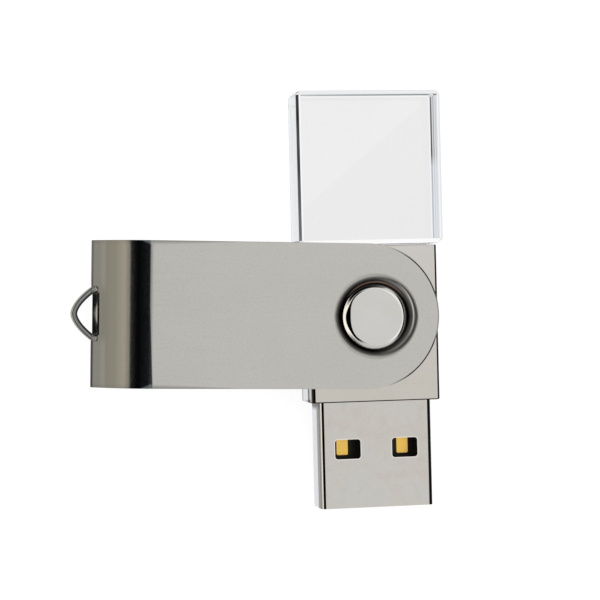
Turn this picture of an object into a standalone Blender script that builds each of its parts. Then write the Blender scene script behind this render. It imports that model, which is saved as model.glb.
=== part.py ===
"""Swivel USB flash drive: a clear crystal block behind a metal housing with a
USB-A plug, carried between the arms of a bent sheet bracket that turns on two
pivot studs.

Frame: metres, +Z up.  The drive lies flat.  X is across the drive, Y runs from
the plug tip (-Y) to the end of the crystal (+Y), Z is the swivel axis.  The
bracket's closed end lies towards -X.  "Front" parts face +Z and "rear" parts
face -Z.  The origin is the point where the swivel axis meets the outer face of
the rear pivot stud, which is the lowest plane of the object.
"""

import math

import bmesh
import bpy
from mathutils import Vector

MM = 0.001

# ---------------------------------------------------------------- dimensions
# In millimetres.  Every z below is measured from the mid plane of the drive.
MID_HEIGHT = 3.70           # mid plane above the origin = half the thickness

# swivel bracket, bent from one strip
BRACKET_SHEET = 0.60
BRACKET_WIDTH = 15.20
BRACKET_END_CENTRE = -0.84  # x centre of the round free ends
BRACKET_FLAT_END = -23.55   # x where the arms start to bend
BEND_ARCS = ((5.000, 20.0), (9.188, 50.0), (1.043, 90.0))
                            # outer radius, and slope in degrees where it ends
BEND_STEPS = 9              # per arc
BRACKET_REST_TURN = -2.0    # degrees away from square to the drive
BRACKET_CORNER = 0.25       # corner radius of the closed end, seen from above
BRACKET_PLAN_MARGIN = 0.02  # how far the plan outline passes the closed end
BRACKET_ARM_EXCESS = 2.0    # strip left beyond the round ends, then trimmed
BRACKET_INNER_HALF = MID_HEIGHT - BRACKET_SHEET

# dish pressed round the pivot; depths are from the bracket's outer face
DISH_RADIUS = 4.25          # at the rim
DISH_FLOOR_RADIUS = 3.50
DISH_DEPTH = 0.42
DISH_KNEE_OUT = 0.45        # knee of the wall: share of the way, floor to rim
DISH_KNEE_DEPTH = 0.15
DISH_CUT_RISE = 0.5         # how far the pocket cutter stands above the face
DISH_CUT_FLARE = 0.9        # its spread up there, relative to the wall's slope
DISH_BOSS_DEPTH = 0.78
DISH_BOSS_RADIUS = 4.00
DISH_BOSS_TAPER = 0.18
DISH_BOSS_OVERLAP = 0.2     # how far the boss runs into the sheet
PIVOT_HOLE_RADIUS = 2.40

# key loop lanced out of the closed end
LOOP_APEX = -31.50
LOOP_APEX_RADIUS = 0.95     # inside the strip
LOOP_ROOT_HALF = 2.80
LOOP_ROOT_INSET = 0.45      # from the closed end into the bracket
LOOP_STRIP = 0.62           # strip thickness seen from above
LOOP_OPENING_HALF = LOOP_ROOT_HALF - LOOP_STRIP
LOOP_Z = (-0.42, 1.12)      # the strip's two edges
LOOP_SLOT_CLEAR = 0.08
LOOP_SLOT_DEPTH = 1.35

# pivot studs
STUD_HEAD_RADIUS = 3.40
STUD_HEAD_THICKNESS = 0.36
STUD_ROUND_HEIGHT = 0.30    # elliptical edge of the head
STUD_ROUND_WIDTH = 1.6 * STUD_ROUND_HEIGHT
STUD_NECK_RADIUS = 2.30
STUD_NECK_CLEAR = 0.03      # neck above the housing
STUD_SHANK_RADIUS = 1.60
STUD_BORE_RADIUS = STUD_SHANK_RADIUS + 0.04
STUD_BORE_REACH = 5.0       # bore cutter each way from the mid plane
STUD_FLANGE_RADIUS = 2.10
STUD_FLANGE_Z = (2.06, 2.26)  # flange inside the housing

# housing
HOUSING_HALF_WIDTH = 6.92
HOUSING_HALF_THICKNESS = 2.80
HOUSING_PLUG_END = -8.94
HOUSING_CRYSTAL_END = 7.41
HOUSING_WALL = 0.50
HOUSING_CORNER = 0.48       # radius of the four long edges
HOUSING_END_EDGE = 0.12     # small break round the two ends
HOUSING_SEAM_Z = (0.88, 0.92)  # gap between the rear shell and front cover
CAVITY_CORNER = 0.3

# crystal and light coupling
CRYSTAL_HALF_WIDTH = 7.75
CRYSTAL_HALF_THICKNESS = 2.75
CRYSTAL_Y = (7.58, 23.72)
CRYSTAL_CHAMFER = 0.45
ADHESIVE_Y = (7.45, 7.54)
ADHESIVE_HALF = (6.20, 2.15)  # x, z
WINDOW_Y = (6.62, 7.40)
WINDOW_HALF = (5.40, 1.85)  # x, z
WINDOW_CLEAR = 0.04

# USB-A plug
PLUG_HALF_WIDTH = 6.00
PLUG_HALF_THICKNESS = 2.25
PLUG_WALL = 0.30
PLUG_CORNER = 0.50
PLUG_TIP = -20.05
PLUG_BACK = -6.80
PLUG_WINDOW_SIZE = (2.75, 2.05)  # x, y
PLUG_WINDOW_X = 3.06
PLUG_WINDOW_Y = -13.88
PLUG_WINDOW_CORNER = 0.32
PLUG_SEAM = 0.06
PLUG_SEAM_EXTRA_DEPTH = 0.4  # seam cutter past the wall's inner face
PLUG_OPENING_CLEAR = 0.05   # housing opening round the plug
PLUG_OPENING_CORNER = PLUG_CORNER + 0.03
PLUG_OPENING_DEPTH = 1.2
INSULATOR_FIT = 0.04        # gap inside the plug shell
INSULATOR_HALF = PLUG_HALF_WIDTH - PLUG_WALL - INSULATOR_FIT
INSULATOR_LOW = -(PLUG_HALF_THICKNESS - PLUG_WALL - INSULATOR_FIT)
INSULATOR_BACK = -6.90
INSULATOR_BLOCK_TIP = -8.90  # end of the full-height block towards the tip
INSULATOR_BLOCK_CORNER = 0.2
TONGUE_TIP = -19.35
TONGUE_TOP = -0.03
TONGUE_SIDE_INSET = 0.15    # narrower each side than the block

CONTACT_TOP = 0.18
CONTACT_CLEAR = 0.04        # channel round a contact
CONTACT_TIP_ROUND = 0.16
POWER_CONTACT_TIP = -14.62
DATA_CONTACT_TIP = -12.70
CONTACT_TAIL = -5.20
CONTACTS = {                # centre x, half width, tip y
    "contact_vbus": (3.25, 0.60, POWER_CONTACT_TIP),
    "contact_data_minus": (1.00, 0.50, DATA_CONTACT_TIP),
    "contact_data_plus": (-1.00, 0.50, DATA_CONTACT_TIP),
    "contact_ground": (-3.25, 0.60, POWER_CONTACT_TIP),
}

# electronics
BOARD_HALF_WIDTH = 5.70
BOARD_Y = (-6.60, 6.20)
BOARD_Z = (-0.85, -0.05)
COMPONENT_GAP = 0.03        # between the board and a part on it
CRADLE_HALF = (6.15, 6.30)  # x, y
CRADLE_CORNER = 0.5
CRADLE_CENTRE = (0.0, -0.25)
CRADLE_FLOOR_GAP = 0.05
CRADLE_BOARD_GAP = 0.04
WELL_HALF = (4.75, 4.95)    # x, y
WELL_CORNER = 0.4
WELL_CENTRE = (0.0, -0.10)
WELL_TOP = 1.0

CUT_PAST = 1.0              # how far a cutter runs past the part it cuts
TURN_SEGMENTS = 48          # of a full circle
SHARP_ANGLE = 35.0          # degrees; steeper edges are shaded sharp
FACES = ((1, "front"), (-1, "rear"))  # sign of z, word used in names


# ------------------------------------------------------------------- helpers
def clear_scene():
    for obj in list(bpy.data.objects):
        bpy.data.objects.remove(obj, do_unlink=True)


def material(name, colour, roughness, metallic=0.0, transmission=0.0, ior=1.5):
    mat = bpy.data.materials.new(name)
    mat.use_nodes = True
    shader = mat.node_tree.nodes["Principled BSDF"]
    shader.inputs["Base Color"].default_value = (*colour, 1.0)
    shader.inputs["Roughness"].default_value = roughness
    shader.inputs["Metallic"].default_value = metallic
    shader.inputs["Transmission Weight"].default_value = transmission
    shader.inputs["IOR"].default_value = ior
    mat.diffuse_color = (*colour, 1.0)
    return mat


def empty(name, turn=0.0):
    """A parent on the swivel axis at the mid plane, turned in degrees."""
    obj = bpy.data.objects.new(name, None)
    bpy.context.scene.collection.objects.link(obj)
    obj.location = (0.0, 0.0, MID_HEIGHT * MM)
    obj.rotation_euler = (0.0, 0.0, math.radians(turn))
    obj.empty_display_size = 0.004
    return obj


def add_object(name, solid, parent, mat=None):
    """Turn a bmesh drawn in millimetres about the mid plane into an object."""
    bmesh.ops.recalc_face_normals(solid, faces=solid.faces)
    bmesh.ops.scale(solid, vec=Vector((MM, MM, MM)), verts=solid.verts)
    mesh = bpy.data.meshes.new(name)
    solid.to_mesh(mesh)
    solid.free()
    obj = bpy.data.objects.new(name, mesh)
    bpy.context.scene.collection.objects.link(obj)
    obj.parent = parent
    if mat is not None:
        mesh.materials.append(mat)
    mesh.shade_smooth()
    mesh.set_sharp_from_angle(angle=math.radians(SHARP_ANGLE))
    return obj


def cutter(name, solid, parent):
    """A hidden helper object for boolean modifiers."""
    obj = add_object(name, solid, parent)
    obj.hide_render = True
    obj.display_type = "WIRE"
    return obj


def boolean(target, tool, operation="DIFFERENCE"):
    mod = target.modifiers.new(operation.lower() + "_" + tool.name, "BOOLEAN")
    mod.operation = operation
    mod.solver = "EXACT"
    mod.object = tool


def combine(target, name, solid, operation="DIFFERENCE"):
    """Make a helper beside the target and apply it as a boolean."""
    boolean(target, cutter(name, solid, target.parent), operation)


def arc(centre_x, centre_y, radius, start, sweep, steps):
    """Points along an arc; angles in degrees, both ends included."""
    points = []
    for i in range(steps + 1):
        angle = math.radians(start + sweep * i / steps)
        points.append((centre_x + radius * math.cos(angle),
                       centre_y + radius * math.sin(angle)))
    return points


def round_rect(half_width, half_height, radius, steps, centre=(0.0, 0.0)):
    points = []
    for sign_x, sign_y, start in ((1, 1, 0), (-1, 1, 90), (-1, -1, 180), (1, -1, 270)):
        points += arc(centre[0] + sign_x * (half_width - radius),
                      centre[1] + sign_y * (half_height - radius),
                      radius, start, 90, steps)
    return points


def extrude_outline(points, vector):
    """A flat outline (3-D points) pulled along a vector into a closed solid."""
    solid = bmesh.new()
    face = solid.faces.new([solid.verts.new(point) for point in points])
    pulled = bmesh.ops.extrude_face_region(solid, geom=[face])
    moved = [v for v in pulled["geom"] if isinstance(v, bmesh.types.BMVert)]
    bmesh.ops.translate(solid, vec=Vector(vector), verts=moved)
    return solid


def plan_prism(points, low, high):
    """Outline given as (x, y), pulled along Z."""
    return extrude_outline([(x, y, low) for x, y in points], (0, 0, high - low))


def along_y_prism(points, start, end):
    """Outline given as (x, z), pulled along Y."""
    return extrude_outline([(x, start, z) for x, z in points], (0, end - start, 0))


def box(x_min, x_max, y_min, y_max, z_min, z_max):
    return plan_prism([(x_min, y_min), (x_max, y_min), (x_max, y_max), (x_min, y_max)],
                      z_min, z_max)


def centred_box(half_x, y_range, half_z):
    """A box centred on the Y axis in x and z."""
    return box(-half_x, half_x, *y_range, -half_z, half_z)


def turned(profile):
    """Spin a half profile of (radius, z) about the swivel axis."""
    solid = bmesh.new()
    verts = [solid.verts.new((radius, 0.0, z)) for radius, z in profile]
    edges = [solid.edges.new(pair) for pair in zip(verts, verts[1:])]
    bmesh.ops.spin(solid, geom=verts + edges, cent=(0, 0, 0), axis=(0, 0, 1),
                   dvec=(0, 0, 0), angle=math.tau, steps=TURN_SEGMENTS,
                   use_merge=True, use_duplicate=False)
    bmesh.ops.remove_doubles(solid, verts=solid.verts, dist=1e-4)
    return solid


def axis_cylinder(radius, reach):
    """A cylinder on the swivel axis, reaching equally up and down."""
    return turned([(0, reach), (radius, reach), (radius, -reach), (0, -reach)])


def bevel_edges(solid, edges, width, segments):
    bmesh.ops.bevel(solid, geom=edges, offset=width, offset_type="OFFSET",
                    segments=segments, profile=0.5, affect="EDGES")


def upright_edges(solid):
    return [edge for edge in solid.edges
            if abs(edge.verts[0].co.z - edge.verts[1].co.z) > 1e-6]


clear_scene()

# ----------------------------------------------------------------- materials
STAINLESS = material("brushed_stainless", colour=(0.50, 0.49, 0.46),
                     roughness=0.32, metallic=1.0)
NICKEL = material("polished_nickel", colour=(0.60, 0.57, 0.53),
                  roughness=0.12, metallic=1.0)
PLUG_STEEL = material("plug_steel", colour=(0.56, 0.53, 0.49),
                      roughness=0.25, metallic=1.0)
CRYSTAL = material("clear_crystal", colour=(0.97, 0.98, 1.0),
                   roughness=0.0, transmission=1.0, ior=1.52)
CLEAR_GLUE = material("clear_adhesive", colour=(0.95, 0.97, 1.0),
                      roughness=0.1, transmission=1.0)
DIFFUSER = material("clear_acrylic", colour=(0.92, 0.94, 0.96),
                    roughness=0.2, transmission=0.9, ior=1.49)
BLACK_LCP = material("black_polymer", colour=(0.012, 0.012, 0.014), roughness=0.45)
GOLD = material("gold_plate", colour=(0.73, 0.49, 0.12), roughness=0.22, metallic=1.0)
SOLDER_MASK = material("green_solder_mask", colour=(0.015, 0.13, 0.05), roughness=0.4)
MOULDING = material("black_moulding", colour=(0.015, 0.015, 0.017), roughness=0.5)
SILVER_CAN = material("nickel_can", colour=(0.62, 0.61, 0.59),
                      roughness=0.2, metallic=1.0)
CERAMIC_TAN = material("tan_ceramic", colour=(0.42, 0.30, 0.19), roughness=0.45)
CERAMIC_BLACK = material("black_ceramic", colour=(0.02, 0.02, 0.02), roughness=0.35)
LED_BODY = material("led_white", colour=(0.85, 0.84, 0.78), roughness=0.3)
CRADLE_WHITE = material("white_polymer", colour=(0.75, 0.75, 0.73), roughness=0.45)

drive = empty("drive_centre")
swivel = empty("swivel_axis", BRACKET_REST_TURN)


# ------------------------------------------------------------ swivel bracket
def bend_points(inset):
    """Closed end from the front arm round to the rear: three arcs, mirrored.

    The inset is the distance inside the outer face, so the sheet keeps its
    thickness round the bend.
    """
    x, drop, slope = BRACKET_FLAT_END, 0.0, 0.0
    quarter = [(x, drop)]
    for outer_radius, end_degrees in BEND_ARCS:
        radius = outer_radius - inset
        end = math.radians(end_degrees)
        for i in range(1, BEND_STEPS + 1):
            angle = slope + (end - slope) * i / BEND_STEPS
            quarter.append((x - radius * (math.sin(angle) - math.sin(slope)),
                            drop + radius * (math.cos(slope) - math.cos(angle))))
        x, drop = quarter[-1]
        slope = end
    half = MID_HEIGHT - inset
    front = [(point_x, half - point_drop) for point_x, point_drop in quarter[:-1]]
    # the two halves meet in one point on the mid plane
    return front + [(x, 0.0)] + [(point_x, -z) for point_x, z in front[::-1]]


BRACKET_APEX = min(x for x, z in bend_points(0.0))


def bracket_strip():
    """Side profile of the bent strip, extruded across its width."""
    reach = BRACKET_END_CENTRE + BRACKET_WIDTH / 2 + BRACKET_ARM_EXCESS
    outer = [(reach, MID_HEIGHT)] + bend_points(0.0) + [(reach, -MID_HEIGHT)]
    inner = [(reach, -BRACKET_INNER_HALF)] + bend_points(BRACKET_SHEET)[::-1]
    inner += [(reach, BRACKET_INNER_HALF)]
    return along_y_prism(outer + inner, -BRACKET_WIDTH / 2 - CUT_PAST,
                         BRACKET_WIDTH / 2 + CUT_PAST)


def bracket_plan():
    """Plan outline: round free end, square closed end with eased corners."""
    half = BRACKET_WIDTH / 2
    points = arc(BRACKET_END_CENTRE, 0.0, half, -90, 180, 36)
    for side, start in ((1, 90), (-1, 180)):
        points += arc(BRACKET_APEX - BRACKET_PLAN_MARGIN + BRACKET_CORNER,
                      side * (half - BRACKET_CORNER), BRACKET_CORNER, start, 90, 4)
    reach = MID_HEIGHT + 3.0
    return plan_prism(points, -reach, reach)


def dish_boss(side):
    """The raised underside of a dish, standing inwards from the arm."""
    top = side * (BRACKET_INNER_HALF + DISH_BOSS_OVERLAP)
    bottom = side * (MID_HEIGHT - DISH_BOSS_DEPTH)
    profile = [(0, top),
               (DISH_BOSS_RADIUS, top),
               (DISH_BOSS_RADIUS, side * BRACKET_INNER_HALF),
               (DISH_BOSS_RADIUS - DISH_BOSS_TAPER, bottom),
               (0, bottom)]
    return turned(profile[::side])


def dish_pocket(side):
    """The hollow of a dish, cut from the outer face."""
    span = DISH_RADIUS - DISH_FLOOR_RADIUS
    flare = span * DISH_CUT_RISE / DISH_DEPTH * DISH_CUT_FLARE
    top = side * (MID_HEIGHT + DISH_CUT_RISE)
    floor = side * (MID_HEIGHT - DISH_DEPTH)
    profile = [(0, top),
               (DISH_RADIUS + flare, top),
               (DISH_RADIUS, side * MID_HEIGHT),
               (DISH_FLOOR_RADIUS + span * DISH_KNEE_OUT,
                side * (MID_HEIGHT - DISH_KNEE_DEPTH)),
               (DISH_FLOOR_RADIUS, floor),
               (0, floor)]
    return turned(profile[::side])


def loop_edge(offset):
    """Plan edge of the triangular key loop, root to root.

    The offset is the distance outside the loop's inner edge.
    """
    apex_radius = LOOP_APEX_RADIUS + offset
    centre_x = LOOP_APEX + LOOP_STRIP + LOOP_APEX_RADIUS
    root_x = BRACKET_APEX + LOOP_ROOT_INSET
    root_y = LOOP_OPENING_HALF + offset
    # straight legs from the roots, tangent to a small circle at the apex
    run = root_x - centre_x
    tangent = math.atan2(root_y, run) + math.acos(apex_radius / math.hypot(run, root_y))
    start = math.degrees(tangent)
    return ([(root_x, root_y)]
            + arc(centre_x, 0.0, apex_radius, start, 2 * (180 - start), 8)
            + [(root_x, -root_y)])


def build_bracket():
    bracket = add_object("swivel_bracket", bracket_strip(), swivel, STAINLESS)
    combine(bracket, "bracket_plan_cutter", bracket_plan(), "INTERSECT")
    for side, word in FACES:
        combine(bracket, "dish_boss_" + word, dish_boss(side), "UNION")
    for side, word in FACES:
        combine(bracket, "dish_pocket_" + word, dish_pocket(side))
    combine(bracket, "pivot_hole",
            axis_cylinder(PIVOT_HOLE_RADIUS, MID_HEIGHT + CUT_PAST))
    # slot behind the loop, then the loop itself
    combine(bracket, "loop_slot",
            box(BRACKET_APEX - CUT_PAST, BRACKET_APEX + LOOP_SLOT_DEPTH,
                -LOOP_OPENING_HALF, LOOP_OPENING_HALF,
                LOOP_Z[0] - LOOP_SLOT_CLEAR, LOOP_Z[1] + LOOP_SLOT_CLEAR))
    band = loop_edge(LOOP_STRIP) + loop_edge(0.0)[::-1]
    combine(bracket, "key_loop", plan_prism(band, *LOOP_Z), "UNION")


# --------------------------------------------------------------- pivot studs
def stud(side):
    """Round-edged head, neck, shank and inner flange, turned in one piece."""
    head_low = MID_HEIGHT - STUD_HEAD_THICKNESS
    neck_low = HOUSING_HALF_THICKNESS + STUD_NECK_CLEAR
    flange_low, flange_high = STUD_FLANGE_Z
    profile = [(0, MID_HEIGHT)]
    for i in range(5):
        angle = math.radians(90 * i / 4)
        profile.append((STUD_HEAD_RADIUS - STUD_ROUND_WIDTH * (1 - math.sin(angle)),
                        MID_HEIGHT - STUD_ROUND_HEIGHT * (1 - math.cos(angle))))
    profile += [(STUD_HEAD_RADIUS, head_low),
                (STUD_NECK_RADIUS, head_low),
                (STUD_NECK_RADIUS, neck_low),
                (STUD_SHANK_RADIUS, neck_low),
                (STUD_SHANK_RADIUS, flange_high),
                (STUD_FLANGE_RADIUS, flange_high),
                (STUD_FLANGE_RADIUS, flange_low),
                (0, flange_low)]
    return turned([(radius, side * z) for radius, z in profile])


def build_studs():
    for side, word in FACES:
        add_object("pivot_stud_" + word, stud(side), drive, NICKEL)


# ------------------------------------------------------------------- housing
def housing_half(side):
    """A solid block for one shell: square at the parting line, round outside."""
    seam = HOUSING_SEAM_Z[1] if side > 0 else -HOUSING_SEAM_Z[0]
    section = [(HOUSING_HALF_WIDTH, seam)]
    for sign_x, start in ((1, 0), (-1, 90)):
        section += arc(sign_x * (HOUSING_HALF_WIDTH - HOUSING_CORNER),
                       HOUSING_HALF_THICKNESS - HOUSING_CORNER,
                       HOUSING_CORNER, start, 90, 5)
    section.append((-HOUSING_HALF_WIDTH, seam))
    solid = along_y_prism([(x, side * z) for x, z in section],
                          HOUSING_PLUG_END, HOUSING_CRYSTAL_END)
    bmesh.ops.recalc_face_normals(solid, faces=solid.faces)
    # edges round the two end faces, except those on the parting line
    rim = [edge for edge in solid.edges
           if abs(edge.verts[0].co.y - edge.verts[1].co.y) < 1e-6
           and not all(abs(v.co.z - side * seam) < 1e-6 for v in edge.verts)]
    bevel_edges(solid, rim, HOUSING_END_EDGE, 2)
    return solid


def housing_cavity():
    points = round_rect(HOUSING_HALF_WIDTH - HOUSING_WALL,
                        (HOUSING_CRYSTAL_END - HOUSING_PLUG_END) / 2 - HOUSING_WALL,
                        CAVITY_CORNER, 3,
                        (0.0, (HOUSING_CRYSTAL_END + HOUSING_PLUG_END) / 2))
    return plan_prism(points, -HOUSING_HALF_THICKNESS + HOUSING_WALL,
                      HOUSING_HALF_THICKNESS - HOUSING_WALL)


def plug_opening():
    return along_y_prism(round_rect(PLUG_HALF_WIDTH + PLUG_OPENING_CLEAR,
                                    PLUG_HALF_THICKNESS + PLUG_OPENING_CLEAR,
                                    PLUG_OPENING_CORNER, 5),
                         HOUSING_PLUG_END - CUT_PAST,
                         HOUSING_PLUG_END + PLUG_OPENING_DEPTH)


def light_opening():
    return centred_box(WINDOW_HALF[0] + WINDOW_CLEAR,
                       (HOUSING_CRYSTAL_END - CUT_PAST, HOUSING_CRYSTAL_END + CUT_PAST),
                       WINDOW_HALF[1] + WINDOW_CLEAR)


def build_housing():
    tools = [cutter("housing_cavity", housing_cavity(), drive),
             cutter("plug_opening", plug_opening(), drive),
             cutter("light_opening", light_opening(), drive),
             cutter("stud_bore", axis_cylinder(STUD_BORE_RADIUS, STUD_BORE_REACH), drive)]
    for name, side in (("housing_front_cover", 1), ("housing_rear_shell", -1)):
        part = add_object(name, housing_half(side), drive, NICKEL)
        for tool in tools:
            boolean(part, tool)


# ------------------------------------------------- crystal and light coupling
def build_crystal():
    solid = centred_box(CRYSTAL_HALF_WIDTH, CRYSTAL_Y, CRYSTAL_HALF_THICKNESS)
    bevel_edges(solid, list(solid.edges), CRYSTAL_CHAMFER, 1)
    add_object("crystal_block", solid, drive, CRYSTAL)


def build_light_coupling():
    for name, (half_x, half_z), y_range, mat in (
            ("crystal_adhesive", ADHESIVE_HALF, ADHESIVE_Y, CLEAR_GLUE),
            ("light_window", WINDOW_HALF, WINDOW_Y, DIFFUSER)):
        add_object(name, centred_box(half_x, y_range, half_z), drive, mat)


# ----------------------------------------------------------------- USB plug
def build_plug_shell():
    outline = round_rect(PLUG_HALF_WIDTH, PLUG_HALF_THICKNESS, PLUG_CORNER, 6)
    plug = add_object("plug_shell", along_y_prism(outline, PLUG_TIP, PLUG_BACK),
                      drive, PLUG_STEEL)
    bore = round_rect(PLUG_HALF_WIDTH - PLUG_WALL, PLUG_HALF_THICKNESS - PLUG_WALL,
                      PLUG_CORNER - PLUG_WALL, 6)
    combine(plug, "plug_bore",
            along_y_prism(bore, PLUG_TIP - CUT_PAST, PLUG_BACK + CUT_PAST))
    # each window cutter goes through both broad faces
    for sign, word in ((-1, "left"), (1, "right")):
        window = round_rect(PLUG_WINDOW_SIZE[0] / 2, PLUG_WINDOW_SIZE[1] / 2,
                            PLUG_WINDOW_CORNER, 4,
                            (sign * PLUG_WINDOW_X, PLUG_WINDOW_Y))
        combine(plug, "plug_window_" + word,
                plan_prism(window, -PLUG_HALF_THICKNESS - CUT_PAST,
                           PLUG_HALF_THICKNESS + CUT_PAST))
    # lengthwise seam in the rear face
    combine(plug, "plug_seam",
            box(-PLUG_SEAM / 2, PLUG_SEAM / 2,
                PLUG_TIP - CUT_PAST, PLUG_BACK + CUT_PAST,
                -PLUG_HALF_THICKNESS - CUT_PAST,
                -PLUG_HALF_THICKNESS + PLUG_WALL + PLUG_SEAM_EXTRA_DEPTH))


def build_insulator():
    """A tongue joined to a full-height block, with a channel per contact."""
    tongue_half = INSULATOR_HALF - TONGUE_SIDE_INSET
    insulator = add_object("plug_insulator",
                           box(-tongue_half, tongue_half, TONGUE_TIP, INSULATOR_BACK,
                               INSULATOR_LOW, TONGUE_TOP),
                           drive, BLACK_LCP)
    block = round_rect(INSULATOR_HALF, -INSULATOR_LOW, INSULATOR_BLOCK_CORNER, 3)
    combine(insulator, "insulator_block",
            along_y_prism(block, INSULATOR_BLOCK_TIP, INSULATOR_BACK), "UNION")
    for name, (x, half_width, _) in CONTACTS.items():
        half = half_width + CONTACT_CLEAR
        combine(insulator, "channel_" + name,
                box(x - half, x + half, INSULATOR_BLOCK_TIP - CUT_PAST,
                    INSULATOR_BACK + CUT_PAST, TONGUE_TOP, CONTACT_TOP + CONTACT_CLEAR))


def build_contacts():
    """Flat blades with the two corners of the tip rounded in plan."""
    for name, (x, half, tip) in CONTACTS.items():
        blade = box(x - half, x + half, tip, CONTACT_TAIL, 0.0, CONTACT_TOP)
        corners = [edge for edge in upright_edges(blade)
                   if edge.verts[0].co.y < tip + 1e-6]
        bevel_edges(blade, corners, CONTACT_TIP_ROUND, 4)
        add_object(name, blade, drive, GOLD)


# --------------------------------------------------------------- electronics
BOARD_TOP = BOARD_Z[1] + COMPONENT_GAP
BOARD_UNDER = BOARD_Z[0] - COMPONENT_GAP

# name, centre x, y, size x, y, z low, height, material, upright edge chamfer
COMPONENTS = (
    ("controller_chip", 0.0, -1.6, 5.0, 5.0, BOARD_TOP, 0.80, MOULDING, 0.12),
    ("quartz_oscillator", 3.4, 3.1, 3.2, 2.5, BOARD_TOP, 0.75, SILVER_CAN, 0.3),
    ("led", 0.0, 5.35, 1.6, 0.8, BOARD_TOP, 0.60, LED_BODY, 0.1),
    ("memory_chip", 0.0, 0.0, 8.8, 8.4, BOARD_UNDER - 0.95, 0.95, MOULDING, 0.12),
    ("capacitor_1", -4.4, -3.3, 1.0, 0.5, BOARD_TOP, 0.5, CERAMIC_TAN, 0.0),
    ("capacitor_2", -4.4, -1.9, 1.0, 0.5, BOARD_TOP, 0.5, CERAMIC_TAN, 0.0),
    ("capacitor_3", 4.2, -1.2, 1.0, 0.5, BOARD_TOP, 0.5, CERAMIC_TAN, 0.0),
    ("resistor_1", 4.2, -2.8, 1.0, 0.5, BOARD_TOP, 0.35, CERAMIC_BLACK, 0.0),
    ("resistor_2", -2.8, 5.1, 1.0, 0.5, BOARD_TOP, 0.35, CERAMIC_BLACK, 0.0),
    ("resistor_3", -3.6, 2.6, 1.0, 0.5, BOARD_TOP, 0.35, CERAMIC_BLACK, 0.0),
)


def build_board():
    add_object("circuit_board",
               box(-BOARD_HALF_WIDTH, BOARD_HALF_WIDTH, *BOARD_Y, *BOARD_Z),
               drive, SOLDER_MASK)


def build_components():
    for name, x, y, size_x, size_y, low, height, mat, chamfer in COMPONENTS:
        solid = box(x - size_x / 2, x + size_x / 2, y - size_y / 2, y + size_y / 2,
                    low, low + height)
        if chamfer:
            bevel_edges(solid, upright_edges(solid), chamfer, 1)
        add_object(name, solid, drive, mat)


def build_cradle():
    """A rounded frame between the housing floor and the board."""
    outline = round_rect(*CRADLE_HALF, CRADLE_CORNER, 4, CRADLE_CENTRE)
    floor = -HOUSING_HALF_THICKNESS + HOUSING_WALL + CRADLE_FLOOR_GAP
    cradle = add_object("board_cradle",
                        plan_prism(outline, floor, BOARD_Z[0] - CRADLE_BOARD_GAP),
                        drive, CRADLE_WHITE)
    well = round_rect(*WELL_HALF, WELL_CORNER, 4, WELL_CENTRE)
    combine(cradle, "cradle_well",
            plan_prism(well, -HOUSING_HALF_THICKNESS - CUT_PAST, WELL_TOP))


build_bracket()
build_studs()
build_housing()
build_crystal()
build_light_coupling()
build_plug_shell()
build_insulator()
build_contacts()
build_board()
build_components()
build_cradle()
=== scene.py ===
"""Looks of the swivel USB drive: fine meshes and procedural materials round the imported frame.

The drive lies flat on the floor, with its thickness along Z and the pivot on the Z axis.
The body runs along Y: plug towards -Y, housing round the pivot, crystal towards +Y.
The swivel bracket runs along X, turned a little about Z: rounded free end at +X, closed
end with the key loop at -X. "Front" is +Z, "rear" -Z, "left" -X and "right" +X.

Shapes are drawn in millimetres with their height measured from the drive's middle plane.
"""
import math

import bmesh
import bpy
from mathutils import Matrix, Vector


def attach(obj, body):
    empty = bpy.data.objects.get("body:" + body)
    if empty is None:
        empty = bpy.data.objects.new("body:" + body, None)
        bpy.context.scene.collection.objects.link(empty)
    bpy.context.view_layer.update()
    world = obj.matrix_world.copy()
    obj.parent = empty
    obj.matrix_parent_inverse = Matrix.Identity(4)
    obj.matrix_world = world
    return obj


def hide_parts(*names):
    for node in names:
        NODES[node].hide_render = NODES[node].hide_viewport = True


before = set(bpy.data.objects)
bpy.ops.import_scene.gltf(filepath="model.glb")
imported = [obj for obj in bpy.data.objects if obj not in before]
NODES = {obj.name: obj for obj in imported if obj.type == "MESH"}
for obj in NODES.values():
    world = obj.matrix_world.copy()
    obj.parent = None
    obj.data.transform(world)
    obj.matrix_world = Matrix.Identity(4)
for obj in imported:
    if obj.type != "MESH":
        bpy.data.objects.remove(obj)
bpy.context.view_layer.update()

MM = 0.001
TO_MM = 1000.0
MID = 3.70                      # middle plane above the floor, and half the bracket's thickness
TURN = math.radians(-2.0)       # bracket's turn about the pivot

LIFT = Matrix.Translation((0, 0, MID * MM))
PLACEMENT = {
    "drive_body": LIFT @ Matrix.Scale(MM, 4),
    "bracket": LIFT @ Matrix.Rotation(TURN, 4, "Z") @ Matrix.Scale(MM, 4),
}

# ---------------------------------- dimensions that both meshes and materials use
STRIP_HALF = 7.60               # half width of the bracket strip
END_CENTRE_X = -0.84            # centre of the rounded free end
LOOP_TIP_X = -31.50             # the loop's outer curve is x = tip + curve * |y| ** power
LOOP_CURVE = 0.352
LOOP_POWER = 1.75
LOOP_SHEET = 0.62

WINDOW_X, WINDOW_Y = 3.06, -13.88          # centre of each plug window, mirrored in X
WINDOW_HALF_X, WINDOW_HALF_Y = 1.375, 1.025
WINDOW_CORNER = 0.32

CRYSTAL_HALF_X = 7.75
CRYSTAL_Y = (7.58, 23.72)
CRYSTAL_HALF_Z = 2.75
CRYSTAL_CHAMFER = 0.45


# ------------------------------------------------------------------ node help
def math_operator(kind, swapped=False):
    """Method that adds one math node of this kind."""
    def apply(self, other=0.0):
        first, second = (other, self) if swapped else (self, other)
        return self.tree.math(kind, first, second)
    return apply


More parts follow.
